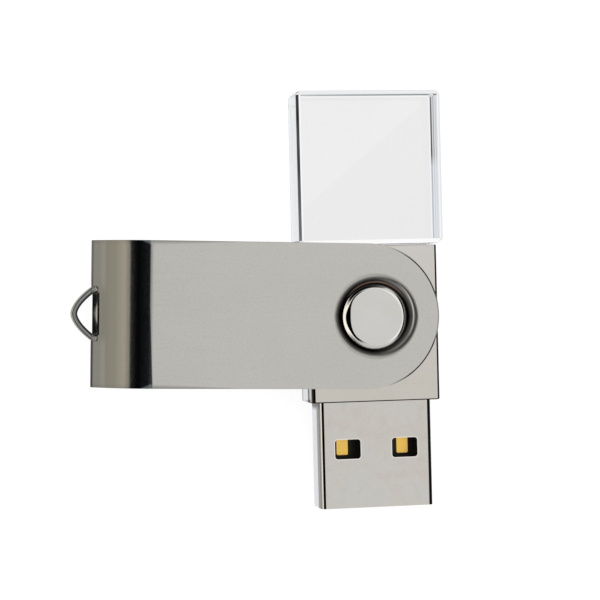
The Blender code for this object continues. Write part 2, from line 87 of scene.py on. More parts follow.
class Signal:
    """An output socket that can be used in arithmetic. Each operator adds one math node."""

    def __init__(self, tree, socket):
        self.tree = tree
        self.socket = socket

    __add__ = math_operator("ADD")
    __radd__ = math_operator("ADD", swapped=True)
    __sub__ = math_operator("SUBTRACT")
    __rsub__ = math_operator("SUBTRACT", swapped=True)
    __mul__ = math_operator("MULTIPLY")
    __truediv__ = math_operator("DIVIDE")
    __pow__ = math_operator("POWER")
    __gt__ = math_operator("GREATER_THAN")
    __lt__ = math_operator("LESS_THAN")
    __abs__ = math_operator("ABSOLUTE")
    root = math_operator("SQRT")
    max = math_operator("MAXIMUM")
    min = math_operator("MINIMUM")

    def map(self, low, high, to_low=0.0, to_high=1.0, smooth=False):
        """Carries low..high to to_low..to_high, and holds the ends. low may be above high."""
        node = self.tree.add(
            "ShaderNodeMapRange",
            {0: self, 1: low, 2: high, 3: to_low, 4: to_high},
            clamp=True, interpolation_type="SMOOTHSTEP" if smooth else "LINEAR")
        return self.tree.signal(node)

    def window(self, start, full, full_end, end):
        """1 between full and full_end, falling to 0 at start and end."""
        return self.map(start, full) * self.map(end, full_end)


class Tree:
    """A short way to write shader node trees."""

    def __init__(self, node_tree, output_kind):
        self.node_tree = node_tree
        node_tree.nodes.clear()
        self.output = self.add(output_kind)

    def add(self, kind, inputs=None, **properties):
        node = self.node_tree.nodes.new(kind)
        for key, value in properties.items():
            setattr(node, key, value)
        for key, value in (inputs or {}).items():
            self.put(value, node.inputs[key])
        return node

    def put(self, value, socket):
        """Links a signal or a node's first output to the socket, or sets a plain value."""
        if isinstance(value, Signal):
            self.node_tree.links.new(value.socket, socket)
        elif isinstance(value, bpy.types.Node):
            self.node_tree.links.new(value.outputs[0], socket)
        elif socket.type == "RGBA":
            socket.default_value = (*value, 1.0)
        else:
            socket.default_value = value

    def show(self, shader):
        self.put(shader, self.output.inputs["Surface"])

    def signal(self, node, output=0):
        return Signal(self, node.outputs[output])

    def math(self, kind, first, second=0.0, clamp=False):
        inputs = {0: first, 1: second, 2: 0.0}
        return self.signal(self.add("ShaderNodeMath", inputs, operation=kind, use_clamp=clamp))

    def distance(self, first, second):
        return (first ** 2.0 + second ** 2.0).root()

    def mix(self, share, under, over, mode="MIX"):
        inputs = {0: share, 6: under, 7: over}
        return self.signal(self.add("ShaderNodeMix", inputs, data_type="RGBA", blend_type=mode), 2)

    def mix_shader(self, share, under, over):
        return self.add("ShaderNodeMixShader", {0: share, 1: under, 2: over})

    def emission(self, colour, strength=1.0):
        return self.add("ShaderNodeEmission", {"Color": colour, "Strength": strength})

    def axes(self, vector):
        """The x, y and z parts of a vector."""
        node = self.add("ShaderNodeSeparateXYZ", {0: vector})
        return [self.signal(node, i) for i in range(3)]

    def geometry_axes(self, output):
        return self.axes(self.signal(self.add("ShaderNodeNewGeometry"), output))

    def coordinates(self, output="Object"):
        return self.signal(self.add("ShaderNodeTexCoord"), output)

    def turned_position(self, turn):
        """Object position in metres, turned about Z."""
        inputs = {"Vector": self.coordinates(), "Rotation": (0, 0, turn)}
        return self.signal(self.add("ShaderNodeMapping", inputs))

    def pattern_space(self, stretch, turn=0.0):
        """Object position in millimetres, turned about Z and stretched."""
        if isinstance(stretch, float):
            stretch = (stretch,) * 3
        inputs = {"Vector": self.turned_position(turn), "Scale": tuple(TO_MM * s for s in stretch)}
        return self.signal(self.add("ShaderNodeMapping", inputs))

    def noise(self, stretch, detail, roughness, distortion=0.0, turn=0.0):
        """Noise with `stretch` waves to the millimetre, one number or one for each axis."""
        node = self.add("ShaderNodeTexNoise", {
            "Vector": self.pattern_space(stretch, turn), "Scale": 1.0,
            "Detail": detail, "Roughness": roughness, "Distortion": distortion})
        return self.signal(node, "Fac")

    def ramp(self, value, stops):
        """Colour ramp from (place, colour) stops."""
        node = self.add("ShaderNodeValToRGB", {0: value})
        elements = node.color_ramp.elements
        for element, (place, colour) in zip(elements, (stops[0], stops[-1])):
            element.position = place
            element.color = (*colour, 1)
        for place, colour in stops[1:-1]:
            elements.new(place).color = (*colour, 1)
        return self.signal(node)

    def bump(self, height, strength, distance):
        inputs = {"Strength": strength, "Distance": distance, "Height": height}
        return self.signal(self.add("ShaderNodeBump", inputs))

    def rays(self, *names):
        path = self.add("ShaderNodeLightPath")
        return [self.signal(path, name) for name in names]

    def principled(self, colour, roughness, **inputs):
        """Principled shader. Other inputs are given by name, with _ for a space."""
        named = {key.replace("_", " "): value for key, value in inputs.items()}
        return self.add("ShaderNodeBsdfPrincipled",
                        {"Base Color": colour, "Roughness": roughness, **named})

    def paint_shade(self, shader, mask, colour):
        """Lays painted shade, a matt colour, over metal, which would turn white where it is seen
        edge on.
        """
        return self.mix_shader(mask, shader, self.add("ShaderNodeBsdfDiffuse", {0: colour}))


def new_material(name):
    mat = bpy.data.materials.new(name)
    mat.use_nodes = True
    return mat, Tree(mat.node_tree, "ShaderNodeOutputMaterial")


def grey(level):
    return (level, level, level)


def dim(colour, share):
    return tuple(part * share for part in colour)


def spread(stops, low, high):
    """Ramp stops whose places are given on the scale low..high."""
    return [((place - low) / (high - low), colour) for place, colour in stops]


def body_position(tree):
    """Object position in metres along x, in millimetres along y and above the middle plane."""
    x, y, z = tree.axes(tree.coordinates())
    return x, y * TO_MM, z * TO_MM - MID


# ------------------------------------------------------------ bracket material
# Painted shade across the outside of the bend, standing in for its dark reflections: (share of the
# way to the closed end, colour)
BEND_TONES = [
    (0.0, (0.315, 0.312, 0.282)), (0.20, (0.300, 0.300, 0.270)), (0.40, (0.226, 0.228, 0.204)),
    (0.62, (0.215, 0.218, 0.198)), (0.73, (0.38, 0.38, 0.35)), (0.84, (0.50, 0.50, 0.47)),
    (1.0, (0.48, 0.48, 0.455)),
]
# Painted shading through the loop, where its rounded edges reflect: (share of its thickness from
# the outer curve, colour)
LOOP_TONES = [
    (0.0, (0.62, 0.62, 0.60)), (0.12, (0.55, 0.55, 0.53)), (0.20, (0.10, 0.10, 0.10)),
    (0.27, (0.12, 0.12, 0.12)), (0.36, (0.48, 0.48, 0.46)), (0.62, (0.42, 0.42, 0.40)),
    (0.72, (0.06, 0.06, 0.065)), (1.0, (0.04, 0.04, 0.045)),
]
# Painted shade of the dish round the stud: (distance from the pivot, level)
DISH_SHADE = [
    (3.40, 0.0), (3.86, 0.0), (3.98, 0.03), (4.08, 0.09), (4.18, 0.15), (4.27, 0.28),
    (4.36, 0.60), (4.46, 0.93), (4.52, 1.0),
]
# Painted highlights of the dish towards the free end: (distance from the pivot, level)
DISH_GLINT = [
    (3.40, 0.0), (3.52, 0.0), (3.66, 0.03), (3.76, 0.09), (3.88, 0.12), (3.98, 0.22),
    (4.08, 0.55), (4.18, 0.42), (4.27, 0.20), (4.37, 0.19), (4.47, 0.55), (4.56, 0.92),
    (4.60, 1.0),
]
DISH_SPAN = (3.40, 4.60)


def shade_bend(tree, base, along, speck):
    """Painted shade: the outside of the bend is darker and slightly olive, standing in for its
    dark reflections.
    """
    bend = (along.map(-25.55, -25.95, smooth=True)
            * along.map(-29.35, -29.7, to_low=1.0, to_high=0.0, smooth=True))
    bend_shade = tree.ramp(along.map(-25.5, -29.5), BEND_TONES)
    base = tree.mix(bend * 0.97, base, bend_shade)
    base = tree.mix(speck.map(0.56, 0.72, to_high=bend * 0.25), base, (0.16, 0.155, 0.13))
    return base, bend


def shade_dish(tree, base, reach, east, north):
    """Painted shade: the dish darkens towards the groove round the stud, with a painted highlight
    at the free end.
    """
    place = (reach + abs(north) * 0.22).map(*DISH_SPAN)

    def tones(table):
        warm = [(radius, (k, k * 0.985, k * 0.965)) for radius, k in table]
        return tree.ramp(place, spread(warm, *DISH_SPAN))

    dark = tones(DISH_SHADE)
    light = tones(DISH_GLINT)
    shade = tree.mix(east.map(-0.1, 0.75, smooth=True), dark, light)
    # painted brown reflection, an arc on the +Y side, close to the stud
    arc = north.map(0.45, 0.9, smooth=True) * (1.0 - abs(reach - 3.60).map(0.03, 0.13))
    shade = tree.mix(arc, shade, (0.36, 0.25, 0.21))
    return tree.mix(1.0, base, shade, "MULTIPLY")


def shade_loop(tree, base, along, across):
    """Painted shading on the lanced loop: a bright outer edge and dark lines along it, where its
    rounded edges reflect.
    """
    bow = LOOP_TIP_X + abs(across) ** LOOP_POWER * LOOP_CURVE
    slope = abs(across) ** (LOOP_POWER - 1.0) * (LOOP_CURVE * LOOP_POWER)
    depth = (along - bow) / (1.0 + slope ** 2.0).root()
    on_loop = along.map(-29.36, -29.40) * (abs(across) < 3.2)
    return tree.mix(on_loop, base, tree.ramp(depth.map(0.0, LOOP_SHEET), LOOP_TONES))


def shade_lines(tree, base, along, across, upright):
    """Painted shade and dark reflections, as lines and edges. upright is 1 on faces that lie
    level.
    """
    # painted shade, a dark line round the free end
    from_end = along - END_CENTRE_X
    away = tree.distance(from_end, across)
    line = away.map(7.445, 7.485) * (from_end / away).map(0.28, 0.60)
    line = line * (upright > 0.12)
    line = line * (from_end / away).map(0.93, 0.985, to_low=1.0, to_high=0.45)
    base = tree.mix(line, base, (0.015, 0.014, 0.013))
    # painted shade on the lip beside the loop's slot
    lip = along.map(-28.78, -28.90) * abs(across).map(2.45, 2.30)
    lip = lip * along.map(-29.5, -29.45)
    base = tree.mix(lip * 0.62, base, (0.05, 0.05, 0.045))
    # painted shade along the crest of the bend
    crest = along.window(-25.35, -25.0, -23.6, -23.3)
    base = tree.mix(crest * 0.5, base, (0.02, 0.02, 0.021))
    # painted dark reflection: the dark band at the bend is a little wedge-shaped
    limit = -23.66 + across.map(1.0, -7.0) * 0.30
    wedge = (along - limit).map(0.06, -0.06) * along.map(-25.1, -24.8)
    base = tree.mix(wedge * 0.95, base, (0.012, 0.013, 0.015))
    # painted shade: the strip's long edges darken towards the bend
    rise = along.map(-14.0, -23.6, to_low=0.07, to_high=0.50)
    margin = tree.math("DIVIDE", abs(across) - STRIP_HALF + rise, rise, clamp=True)
    margin = margin * along.map(-27.0, -23.8, to_low=0.35, to_high=0.85)
    margin = margin * along.map(-6.0, -10.0)
    return tree.mix(margin * 0.8 * (upright > 0.3), base, (0.16, 0.16, 0.145))


def satin_stainless():
    mat, tree = new_material("satin_stainless")
    streak = tree.noise((0.20, 5.0, 5.0), detail=5.0, roughness=0.6, turn=-TURN)
    grain = tree.noise((5.0, 9.0, 9.0), detail=2.0, roughness=0.6, turn=-TURN)
    cloud = tree.noise((0.12, 0.16, 0.16), detail=3.0, roughness=0.5, distortion=0.4, turn=-TURN)
    speck = tree.noise((6.0, 7.0, 7.0), detail=2.0, roughness=0.7, turn=-TURN)
    base = tree.ramp(cloud.map(0.3, 0.7),
                     [(0.0, (0.790, 0.785, 0.760)), (1.0, (0.815, 0.810, 0.790))])
    base = tree.mix(streak.map(0.45, 0.62, to_high=0.10), base, (0.74, 0.735, 0.71))
    base = tree.mix(speck.map(0.50, 0.72, to_high=0.46), base, (0.66, 0.65, 0.62))

    # places on the bracket in millimetres, and directions as seen from the pivot
    along, across = [axis * TO_MM for axis in tree.axes(tree.turned_position(-TURN))[:2]]
    reach = tree.distance(along, across)
    east = along / reach.max(0.1)
    north = across / reach.max(0.1)
    normal_z = tree.geometry_axes("Normal")[2]

    base, bend = shade_bend(tree, base, along, speck)
    base = shade_dish(tree, base, reach, east, north)
    base = shade_loop(tree, base, along, across)
    base = shade_lines(tree, base, along, across, abs(normal_z))

    # rougher on the bend and inside the dish
    rough = streak.map(0.3, 0.7, 0.085, 0.115) + grain.map(0.3, 0.7, -0.01, 0.015)
    rough = rough + bend * 0.05
    rough = rough + reach.map(4.58, 4.40, to_high=0.38)
    normal = tree.bump(streak * 0.5 + grain * 0.5, strength=0.05, distance=0.00001)

    # painted highlights laid in as glow: an arc in the dish, a speckled haze along the bend's
    # crest, and the crest's two corners
    arc_offset = (reach - north.max(0.0) * 0.10) - 4.03
    glint = abs(arc_offset).map(0.09, 0.03) * (east * 0.966 + north * 0.259).map(0.70, 0.97)
    crest_sheen = along.window(-25.0, -23.7, -23.45, -23.3) * speck.map(0.35, 0.65, to_low=0.3)
    side = (abs(across) - STRIP_HALF) + along.map(-24.7, -23.5, to_high=0.50)
    corner = side.map(-0.05, 0.12) * along.window(-24.7, -24.4, -23.55, -23.3)
    shader = tree.principled(
        base, rough, Metallic=1.0, Normal=normal,
        Emission_Color=tree.mix(glint, (0.82, 0.95, 1.0), (1.0, 0.98, 0.93)),
        Emission_Strength=glint * 0.34 + (crest_sheen * 0.016 + corner * 0.10))

    # painted shade, a dark outline at the closed end, to both sides of the loop
    outline = normal_z.map(0.60, 0.50) * along.map(-29.05, -29.12)
    outline = outline * (along > -29.47)
    outline = outline * abs(across).map(2.6, 2.8)
    mask = outline * across.map(6.0, -3.0, to_low=0.5, to_high=0.95)
    tree.show(tree.paint_shade(shader, mask, (0.05, 0.05, 0.05)))
    return mat


# ------------------------------------------------------------ nickel materials
def nickel_base(tree, tint):
    """Mottled and scuffed colour, roughness and normal of the polished nickel."""
    cloud = tree.noise((0.16, 0.22, 0.2), detail=4.0, roughness=0.55, distortion=0.6, turn=0.2)
    fine = tree.noise(3.0, detail=3.0, roughness=0.6)
    scuff = tree.noise((0.8, 9.0, 3.0), detail=2.0, roughness=0.5, turn=0.9)
    grit = tree.noise(9.0, detail=2.0, roughness=0.7)
    warm = tuple(part * share for part, share in zip(tint, (0.965, 0.955, 0.93)))
    base = tree.mix(cloud.map(0.35, 0.65), tint, warm)
    base = tree.mix(scuff.map(0.62, 0.75, to_high=0.10), base, dim(tint, 0.8))
    base = tree.mix(grit.map(0.50, 0.72, to_high=0.16), base, dim(tint, 0.78))
    rough = cloud.map(0.3, 0.7, 0.06, 0.10) + fine.map(0.4, 0.7, 0.0, 0.03)
    return base, rough, tree.bump(fine, strength=0.05, distance=0.00001)


def polished_nickel(name, tint):
    mat, tree = new_material(name)
    base, rough, normal = nickel_base(tree, tint)
    tree.show(tree.principled(base, rough, Metallic=1.0, Normal=normal))
    return mat


def stud_crescent(tree, base):
    """A painted dark reflection: a crescent on the -X side, where the flat turns over."""
    normal_x, normal_y, normal_z = tree.geometry_axes("Normal")
    upright = abs(normal_z)
    level = tree.distance(normal_x, normal_y).max(0.001)
    west = normal_x * -1.0 / level
    north = normal_y / level
    crescent = upright.window(0.850, 0.870, 0.990, 0.996) * west.map(0.40, 0.60)
    upper = upright.map(0.80, 0.74, to_high=0.8) * north.map(0.45, 0.70) * west.map(-0.2, 0.2)
    lower = upright.map(0.79, 0.73, to_high=0.65) * west.map(-0.1, 0.3)
    return tree.mix(crescent.max(upper).max(lower), base, (0.004, 0.004, 0.005))


def stud_rim_line(tree):
    """A painted highlight: a thin pale line on the other side, where the flat turns over."""
    normal_x, normal_y, normal_z = tree.geometry_axes("Normal")
    turned_over = abs(normal_z).window(0.905, 0.922, 0.948, 0.965)
    return turned_over * (normal_x + normal_y * 0.45).map(-0.02, 0.08)


def stud_nickel():
    mat, tree = new_material("stud_nickel")
    base, rough, normal = nickel_base(tree, (0.955, 0.945, 0.93))
    base = stud_crescent(tree, base)
    tree.show(tree.principled(base, rough, Metallic=1.0, Normal=normal,
                              Emission_Color=(1.0, 0.99, 0.96),
                              Emission_Strength=stud_rim_line(tree) * 0.20))
    return mat


def housing_nickel():
    mat, tree = new_material("housing_nickel")
    base, rough, normal = nickel_base(tree, (0.905, 0.865, 0.815))
    _, y, height = body_position(tree)
    normal_x, _, normal_z = tree.geometry_axes("Normal")
    upright = abs(normal_z)
    # the flats turn cooler towards the crystal
    cooler = tree.mix(1.0, base, (1.06, 1.08, 1.13), "MULTIPLY")
    base = tree.mix(y.map(-5.0, 6.0) * upright.map(0.9, 0.95), base, cooler)
    # painted shade and dark reflections: the edge at the plug end, and the left and right long
    # edges
    lip = y.map(-8.80, -8.84) * (upright > 0.10)
    left = normal_x.window(-0.86, -0.80, -0.12, -0.07) * (normal_z > 0.0)
    right = normal_x.map(0.35, 0.45) * normal_z.map(0.02, 0.08)
    base = tree.mix(lip.max(left.max(right)), base, (0.02, 0.019, 0.017))
    # painted highlight, a pale line high on the left side
    pale = height.window(1.90, 2.05, 2.5, 2.65) * (normal_x < -0.7)
    shader = tree.principled(base, rough, Metallic=1.0, Normal=normal,
                             Emission_Color=(1.0, 0.96, 0.84), Emission_Strength=pale * 0.10)
    # painted shade laid in as matt lines: above the parting line, and low on the left side
    seam = height.window(0.72, 1.02, 1.72, 1.90) * (upright < 0.5)
    keel = height.window(-3.0, -2.9, -2.20, -1.85) * (normal_x < -0.55)
    tree.show(tree.paint_shade(shader, (seam * 0.76).max(keel * 0.80), (0.06, 0.06, 0.055)))
    return mat


# ------------------------------------------------------------- plug material
def window_rim_highlight(tree, x, y, height):
    """Painted highlight: a pale line just outside the plug windows, on the two flats."""
    over_x = abs(abs(x) - WINDOW_X) - WINDOW_HALF_X + WINDOW_CORNER
    over_y = abs(y + -WINDOW_Y) - WINDOW_HALF_Y + WINDOW_CORNER
    far = tree.distance(over_x.max(0.0), over_y.max(0.0))
    away = far + over_x.max(over_y).min(0.0) - WINDOW_CORNER
    return away.window(-0.03, 0.0, 0.06, 0.10) * (abs(height) > 2.10)


def plug_steel():
    mat, tree = new_material("plug_steel")
    cloud = tree.noise((0.22, 0.32, 0.3), detail=5.0, roughness=0.6, distortion=0.8, turn=0.5)
    mottle = tree.noise((1.1, 0.9, 1.0), detail=4.0, roughness=0.65, distortion=0.5, turn=-0.4)
    grain = tree.noise(8.0, detail=2.0, roughness=0.7)
    base = tree.ramp(cloud.map(0.3, 0.7), [
        (0.0, (0.865, 0.815, 0.755)), (0.5, (0.895, 0.86, 0.815)), (1.0, (0.88, 0.87, 0.855))])
    base = tree.mix(mottle.map(0.52, 0.72, to_high=0.22), base, (0.70, 0.66, 0.60))
    base = tree.mix(grain.map(0.58, 0.75, to_high=0.22), base, (0.62, 0.59, 0.55))
    x, y, height = body_position(tree)
    normal_x, _, normal_z = tree.geometry_axes("Normal")
    # painted dark reflection along each long edge
    left = normal_x.window(-0.60, -0.52, -0.08, -0.04)
    right = normal_x.map(0.10, 0.18) * normal_z.map(0.02, 0.08)
    base = tree.mix(left.max(right) * (height > -1.6), base, (0.02, 0.019, 0.015))
    rough = mottle.map(0.3, 0.7, 0.08, 0.13) + grain.map(0.4, 0.7, 0.0, 0.03)
    normal = tree.bump(mottle * 0.7 + grain * 0.3, strength=0.08, distance=0.00002)
    # painted highlight round each window, laid in as glow
    rim = window_rim_highlight(tree, x * TO_MM, y, height)
    shader = tree.principled(base, rough, Metallic=1.0, Normal=normal,
                             Emission_Color=(1.0, 0.97, 0.92), Emission_Strength=rim * 0.24)
    # painted shade laid in matt on the left side: a band along it, and the housing's dark
    # reflection in the part next to the housing
    band = height.window(0.50, 0.68, 1.72, 1.92) * (normal_x < -0.85)
    near = y.map(-9.85, -9.35, to_high=0.75) * (normal_x < -0.85)
    tree.show(tree.paint_shade(shader, (band * 0.60).max(near), (0.10, 0.095, 0.08)))
    return mat


# ------------------------------------------------- clear, moulded and board parts
def glass_body(tree, colour, rough, ior):
    return tree.principled(colour, rough, Metallic=0.0, IOR=ior, Transmission_Weight=1.0)


def let_light_through(tree, shader, clear):
    """Lets the lamps through, so what lies under the clear part stays lit."""
    shadow, diffuse = tree.rays("Is Shadow Ray", "Is Diffuse Ray")
    tree.show(tree.mix_shader(shadow.max(diffuse), shader, clear))


def glass(name, tint, rough, ior, tone):
    """Clear solid. tone is how far its tint clouds over."""
    mat, tree = new_material(name)
    shade = tree.noise(0.12, detail=2.0, roughness=0.5, turn=0.3)
    base = tree.mix(shade.map(0.3, 0.7, to_high=tone), tint, dim(tint, 0.93))
    clear = tree.add("ShaderNodeBsdfTransparent", {0: (0.97, 0.975, 0.98)})
    let_light_through(tree, glass_body(tree, base, rough, ior), clear)
    return mat


def moulded(name, colour, rough, speckle=0.12, scale=6.0):
    mat, tree = new_material(name)
    fine = tree.noise(scale, detail=4.0, roughness=0.6)
    broad = tree.noise(0.5, detail=2.0, roughness=0.5)
    lighter = tuple(min(1.0, part * 1.35 + 0.006) for part in colour)
    base = tree.mix(fine.map(0.45, 0.75, to_high=speckle * 4), colour, lighter)
    roughness = broad.map(0.3, 0.7, rough - 0.04, rough + 0.06) + fine.map(0.3, 0.7, -0.02, 0.03)
    normal = tree.bump(fine, strength=0.18, distance=0.00002)
    tree.show(tree.principled(base, roughness, Metallic=0.0, Normal=normal))
    return mat


def gold_plate():
    mat, tree = new_material("gold_plate")
    cloud = tree.noise((1.2, 0.7, 1.0), detail=4.0, roughness=0.6, distortion=0.5, turn=0.3)
    grain = tree.noise(9.0, detail=2.0, roughness=0.6)
    base = tree.ramp(cloud.map(0.3, 0.7), [(0.0, (0.91, 0.56, 0.10)), (1.0, (0.96, 0.64, 0.17))])
    base = tree.mix(grain.map(0.55, 0.75, to_high=0.3), base, (0.70, 0.45, 0.12))
    # painted light: a little glow of its own colour, because it sits deep in a dark well
    tree.show(tree.principled(base, cloud.map(0.3, 0.7, 0.24, 0.36), Metallic=1.0,
                              Normal=tree.bump(grain, strength=0.15, distance=0.00002),
                              Emission_Color=base, Emission_Strength=0.32))
    return mat


def board_mask():
    mat, tree = new_material("green_solder_mask")
    brick = tree.add("ShaderNodeTexBrick", {
        "Vector": tree.pattern_space(1.0), "Scale": 0.9, "Mortar Size": 0.06,
        "Color1": (0.012, 0.105, 0.04), "Color2": (0.016, 0.14, 0.055),
        "Mortar": (0.03, 0.20, 0.08)})
    weave = tree.noise(5.0, detail=2.0, roughness=0.5)
    base = tree.mix(weave.map(0.4, 0.7, to_high=0.25), tree.signal(brick, "Color"),
                    (0.01, 0.07, 0.03))
    height = tree.signal(brick, "Fac") * 0.7 + weave * 0.3
    normal = tree.bump(height, strength=0.25, distance=0.00003)
    tree.show(tree.principled(base, weave.map(0.3, 0.7, 0.28, 0.42), Metallic=0.0, Normal=normal))
    return mat


CHIP_TIN = (0.75, 0.74, 0.71)
CHIP_HALF_LENGTH = 0.5
CHIP_END_LENGTH = 0.24


def tipped(name, body_colour, centre_x):
    """Chip passive: ceramic body with tinned ends, split along X."""
    mat, tree = new_material(name)
    x = tree.axes(tree.coordinates())[0] * TO_MM
    end = abs(x - centre_x) > CHIP_HALF_LENGTH - CHIP_END_LENGTH
    fine = tree.noise(9.0, detail=3.0, roughness=0.6)
    body = tree.mix(fine.map(0.4, 0.7, to_high=0.4), body_colour, dim(body_colour, 0.7))
    tin = tree.mix(fine.map(0.4, 0.7, to_high=0.4), CHIP_TIN, dim(CHIP_TIN, 0.8))
    normal = tree.bump(fine, strength=0.2, distance=0.00002)
    tree.show(tree.principled(tree.mix(end, body, tin), 0.48 - end * 0.18,
                              Metallic=end, Normal=normal))
    return mat


STEEL = satin_stainless()
# the plain finish, kept in the set beside its stud and housing versions
NICKEL = polished_nickel("polished_nickel", tint=(0.86, 0.83, 0.79))
STUD_NICKEL = stud_nickel()
HOUSING_NICKEL = housing_nickel()
PLUG = plug_steel()
CRYSTAL = glass("clear_crystal", (0.975, 0.972, 0.968), rough=0.0, ior=1.52, tone=0.3)
GLUE = glass("clear_adhesive", (0.93, 0.95, 0.97), rough=0.12, ior=1.5, tone=0.5)
ACRYLIC = glass("clear_acrylic", (0.92, 0.95, 0.97), rough=0.08, ior=1.49, tone=0.5)
POLYMER = moulded("black_polymer", (0.006, 0.006, 0.007), rough=0.42)
MOULDING = moulded("black_moulding", (0.012, 0.012, 0.013), rough=0.5, speckle=0.2, scale=9.0)
CRADLE = moulded("white_polymer", (0.72, 0.72, 0.69), rough=0.42, speckle=0.05)
LED = moulded("led_package", (0.86, 0.84, 0.70), rough=0.28, speckle=0.05)
GOLD = gold_plate()
MASK = board_mask()
CAN = polished_nickel("nickel_can", tint=(0.78, 0.77, 0.75))


# ------------------------------------------------------------------ mesh help
def add_mesh(name, shape, matrix, mats=(), sharp_angle=0):
    """Turns a bmesh into a smooth-shaded object; sharp_angle in degrees, 0 for none."""
    bmesh.ops.transform(shape, matrix=matrix, verts=shape.verts)
    bmesh.ops.recalc_face_normals(shape, faces=shape.faces)
    mesh = bpy.data.meshes.new(name)
    shape.to_mesh(mesh)
    shape.free()
    obj = bpy.data.objects.new(name, mesh)
    bpy.context.scene.collection.objects.link(obj)
    for mat in mats:
        mesh.materials.append(mat)
    mesh.shade_smooth()
    if sharp_angle:
        mesh.set_sharp_from_angle(angle=math.radians(sharp_angle))
    return obj


def add_piece(name, shape, body, mats, replaces, sharp_angle=0):
    """Mesh that rides on a body of the frame and stands in for one of its nodes."""
    obj = add_mesh(name, shape, PLACEMENT[body], mats, sharp_angle)
    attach(obj, body)
    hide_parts(replaces)
    return obj


def apply_modifiers(obj):
    graph = bpy.context.evaluated_depsgraph_get()
    graph.update()
    done = bpy.data.meshes.new_from_object(
        obj.evaluated_get(graph), preserve_all_data_layers=True, depsgraph=graph)
    old = obj.data
    obj.modifiers.clear()
    obj.data = done
    done.name = obj.name
    bpy.data.meshes.remove(old)


def add_bevel(obj, width, segments, angle):
    """Rounds edges sharper than angle, in degrees; width in millimetres."""
    bevel = obj.modifiers.new("edge_round", "BEVEL")
    bevel.width = width * MM
    bevel.segments = segments
    bevel.limit_method = "ANGLE"
    bevel.angle_limit = math.radians(angle)
    bevel.use_clamp_overlap = True
    bevel.harden_normals = True
    bevel.miter_outer = "MITER_ARC"


def finish_cut_part(obj, edge_width):
    """Smooth shading, rounded edges and weighted normals after the cuts."""
    obj.data.shade_smooth()
    obj.data.set_sharp_from_angle(angle=math.radians(50))
    add_bevel(obj, edge_width, segments=3, angle=50)
    weighted = obj.modifiers.new("weighted_normals", "WEIGHTED_NORMAL")
    weighted.keep_sharp = True
    weighted.weight = 90


def cut(obj, shape):
    """Cuts a shape out of a part of the drive body."""
    tool = add_mesh("tool", shape, PLACEMENT["drive_body"])
    boolean = obj.modifiers.new("cut", "BOOLEAN")
    boolean.solver = "EXACT"
    boolean.operation = "DIFFERENCE"
    boolean.object = tool
    apply_modifiers(obj)
    bpy.data.objects.remove(tool, do_unlink=True)


def arc_points(centre_x, centre_y, radius, start, steps):
    """Points over a quarter turn from start, in degrees."""
    angles = [math.radians(start + 90 * i / steps) for i in range(steps + 1)]
    return [(centre_x + radius * math.cos(a), centre_y + radius * math.sin(a)) for a in angles]


def round_rect(half_x, half_y, radius, steps, centre=(0.0, 0.0)):
    points = []
    for side_x, side_y, start in ((1, 1, 0), (-1, 1, 90), (-1, -1, 180), (1, -1, 270)):
        points += arc_points(centre[0] + side_x * (half_x - radius),
                             centre[1] + side_y * (half_y - radius), radius, start, steps)
    return points


def prism(outline, vector):
    shape = bmesh.new()
    face = shape.faces.new([shape.verts.new(p) for p in outline])
    geometry = bmesh.ops.extrude_face_region(shape, geom=[face])["geom"]
    moved = [item for item in geometry if isinstance(item, bmesh.types.BMVert)]
    bmesh.ops.translate(shape, vec=Vector(vector), verts=moved)
    bmesh.ops.recalc_face_normals(shape, faces=shape.faces)
    return shape


def plan_prism(points, low, high):
    """Outline in X and Y, raised between two heights."""
    return prism([(x, y, low) for x, y in points], (0, 0, high - low))


def along_y(points, start, end):
    """Section in X and height, drawn out along Y."""
    return prism([(x, start, height) for x, height in points], (0, end - start, 0))


def block(x0, x1, y0, y1, low, high):
    return plan_prism([(x0, y0), (x1, y0), (x1, y1), (x0, y1)], low, high)


def turned(profile, segments):
    """Profile of (radius, height) points turned round Z."""
    shape = bmesh.new()
    verts = [shape.verts.new((radius, 0.0, height)) for radius, height in profile]
    edges = [shape.edges.new(pair) for pair in zip(verts, verts[1:])]
    bmesh.ops.spin(shape, geom=verts + edges, cent=(0, 0, 0), axis=(0, 0, 1), dvec=(0, 0, 0),
                   angle=math.tau, steps=segments, use_merge=True, use_duplicate=False)
    bmesh.ops.remove_doubles(shape, verts=shape.verts, dist=1e-4)
    return shape


def smoothstep(start, end, value):
    share = min(1.0, max(0.0, (value - start) / (end - start)))
    return share * share * (3 - 2 * share)


def interpolate(table, place):
    if place <= table[0][0]:
        return table[0][1]
    for (place0, value0), (place1, value1) in zip(table, table[1:]):
        if place <= place1:
            share = (place - place0) / (place1 - place0)
            return value0 + (value1 - value0) * share
    return table[-1][1]


# ------------------------------------------------------------- swivel bracket
FLAT_END_X = -23.55             # where the flats end and the bend starts
BEND_ARCS = ((5.000, 20.0), (9.188, 50.0), (1.043, 90.0))   # (radius, slope at its end in degrees)
STRIP_SHEET = 0.60
SLOT_HALF = 2.18                # half width of the slot the loop is lanced from
SLOT_LOW, SLOT_HIGH = -0.50, 1.20
JOIN_X = -9.0                   # the rings round the pivot meet the straight grid here
RING_RADIUS = 4.6               # outermost round ring
RING_SHARES = (0.12, 0.3, 0.55, 0.8, 1.0)   # from that ring out to the strip's outline
FLAT_STEPS, BEND_STEPS, SLOT_STEPS = 16, 48, 14

# Grid lines across the strip on the +Y side, and along its edge beside the rings
HALF_GRID_Y = [0.8, 1.6, SLOT_HALF, 2.5, 2.9, 3.4, 4.0, 4.8, 5.6, 6.4, 7.1, STRIP_HALF]
GRID_Y = [-y for y in reversed(HALF_GRID_Y)] + [0.0] + HALF_GRID_Y
EDGE_X = (-1.8, -2.7, -3.6, -4.5, -5.4, -6.3, -7.2, -8.1)

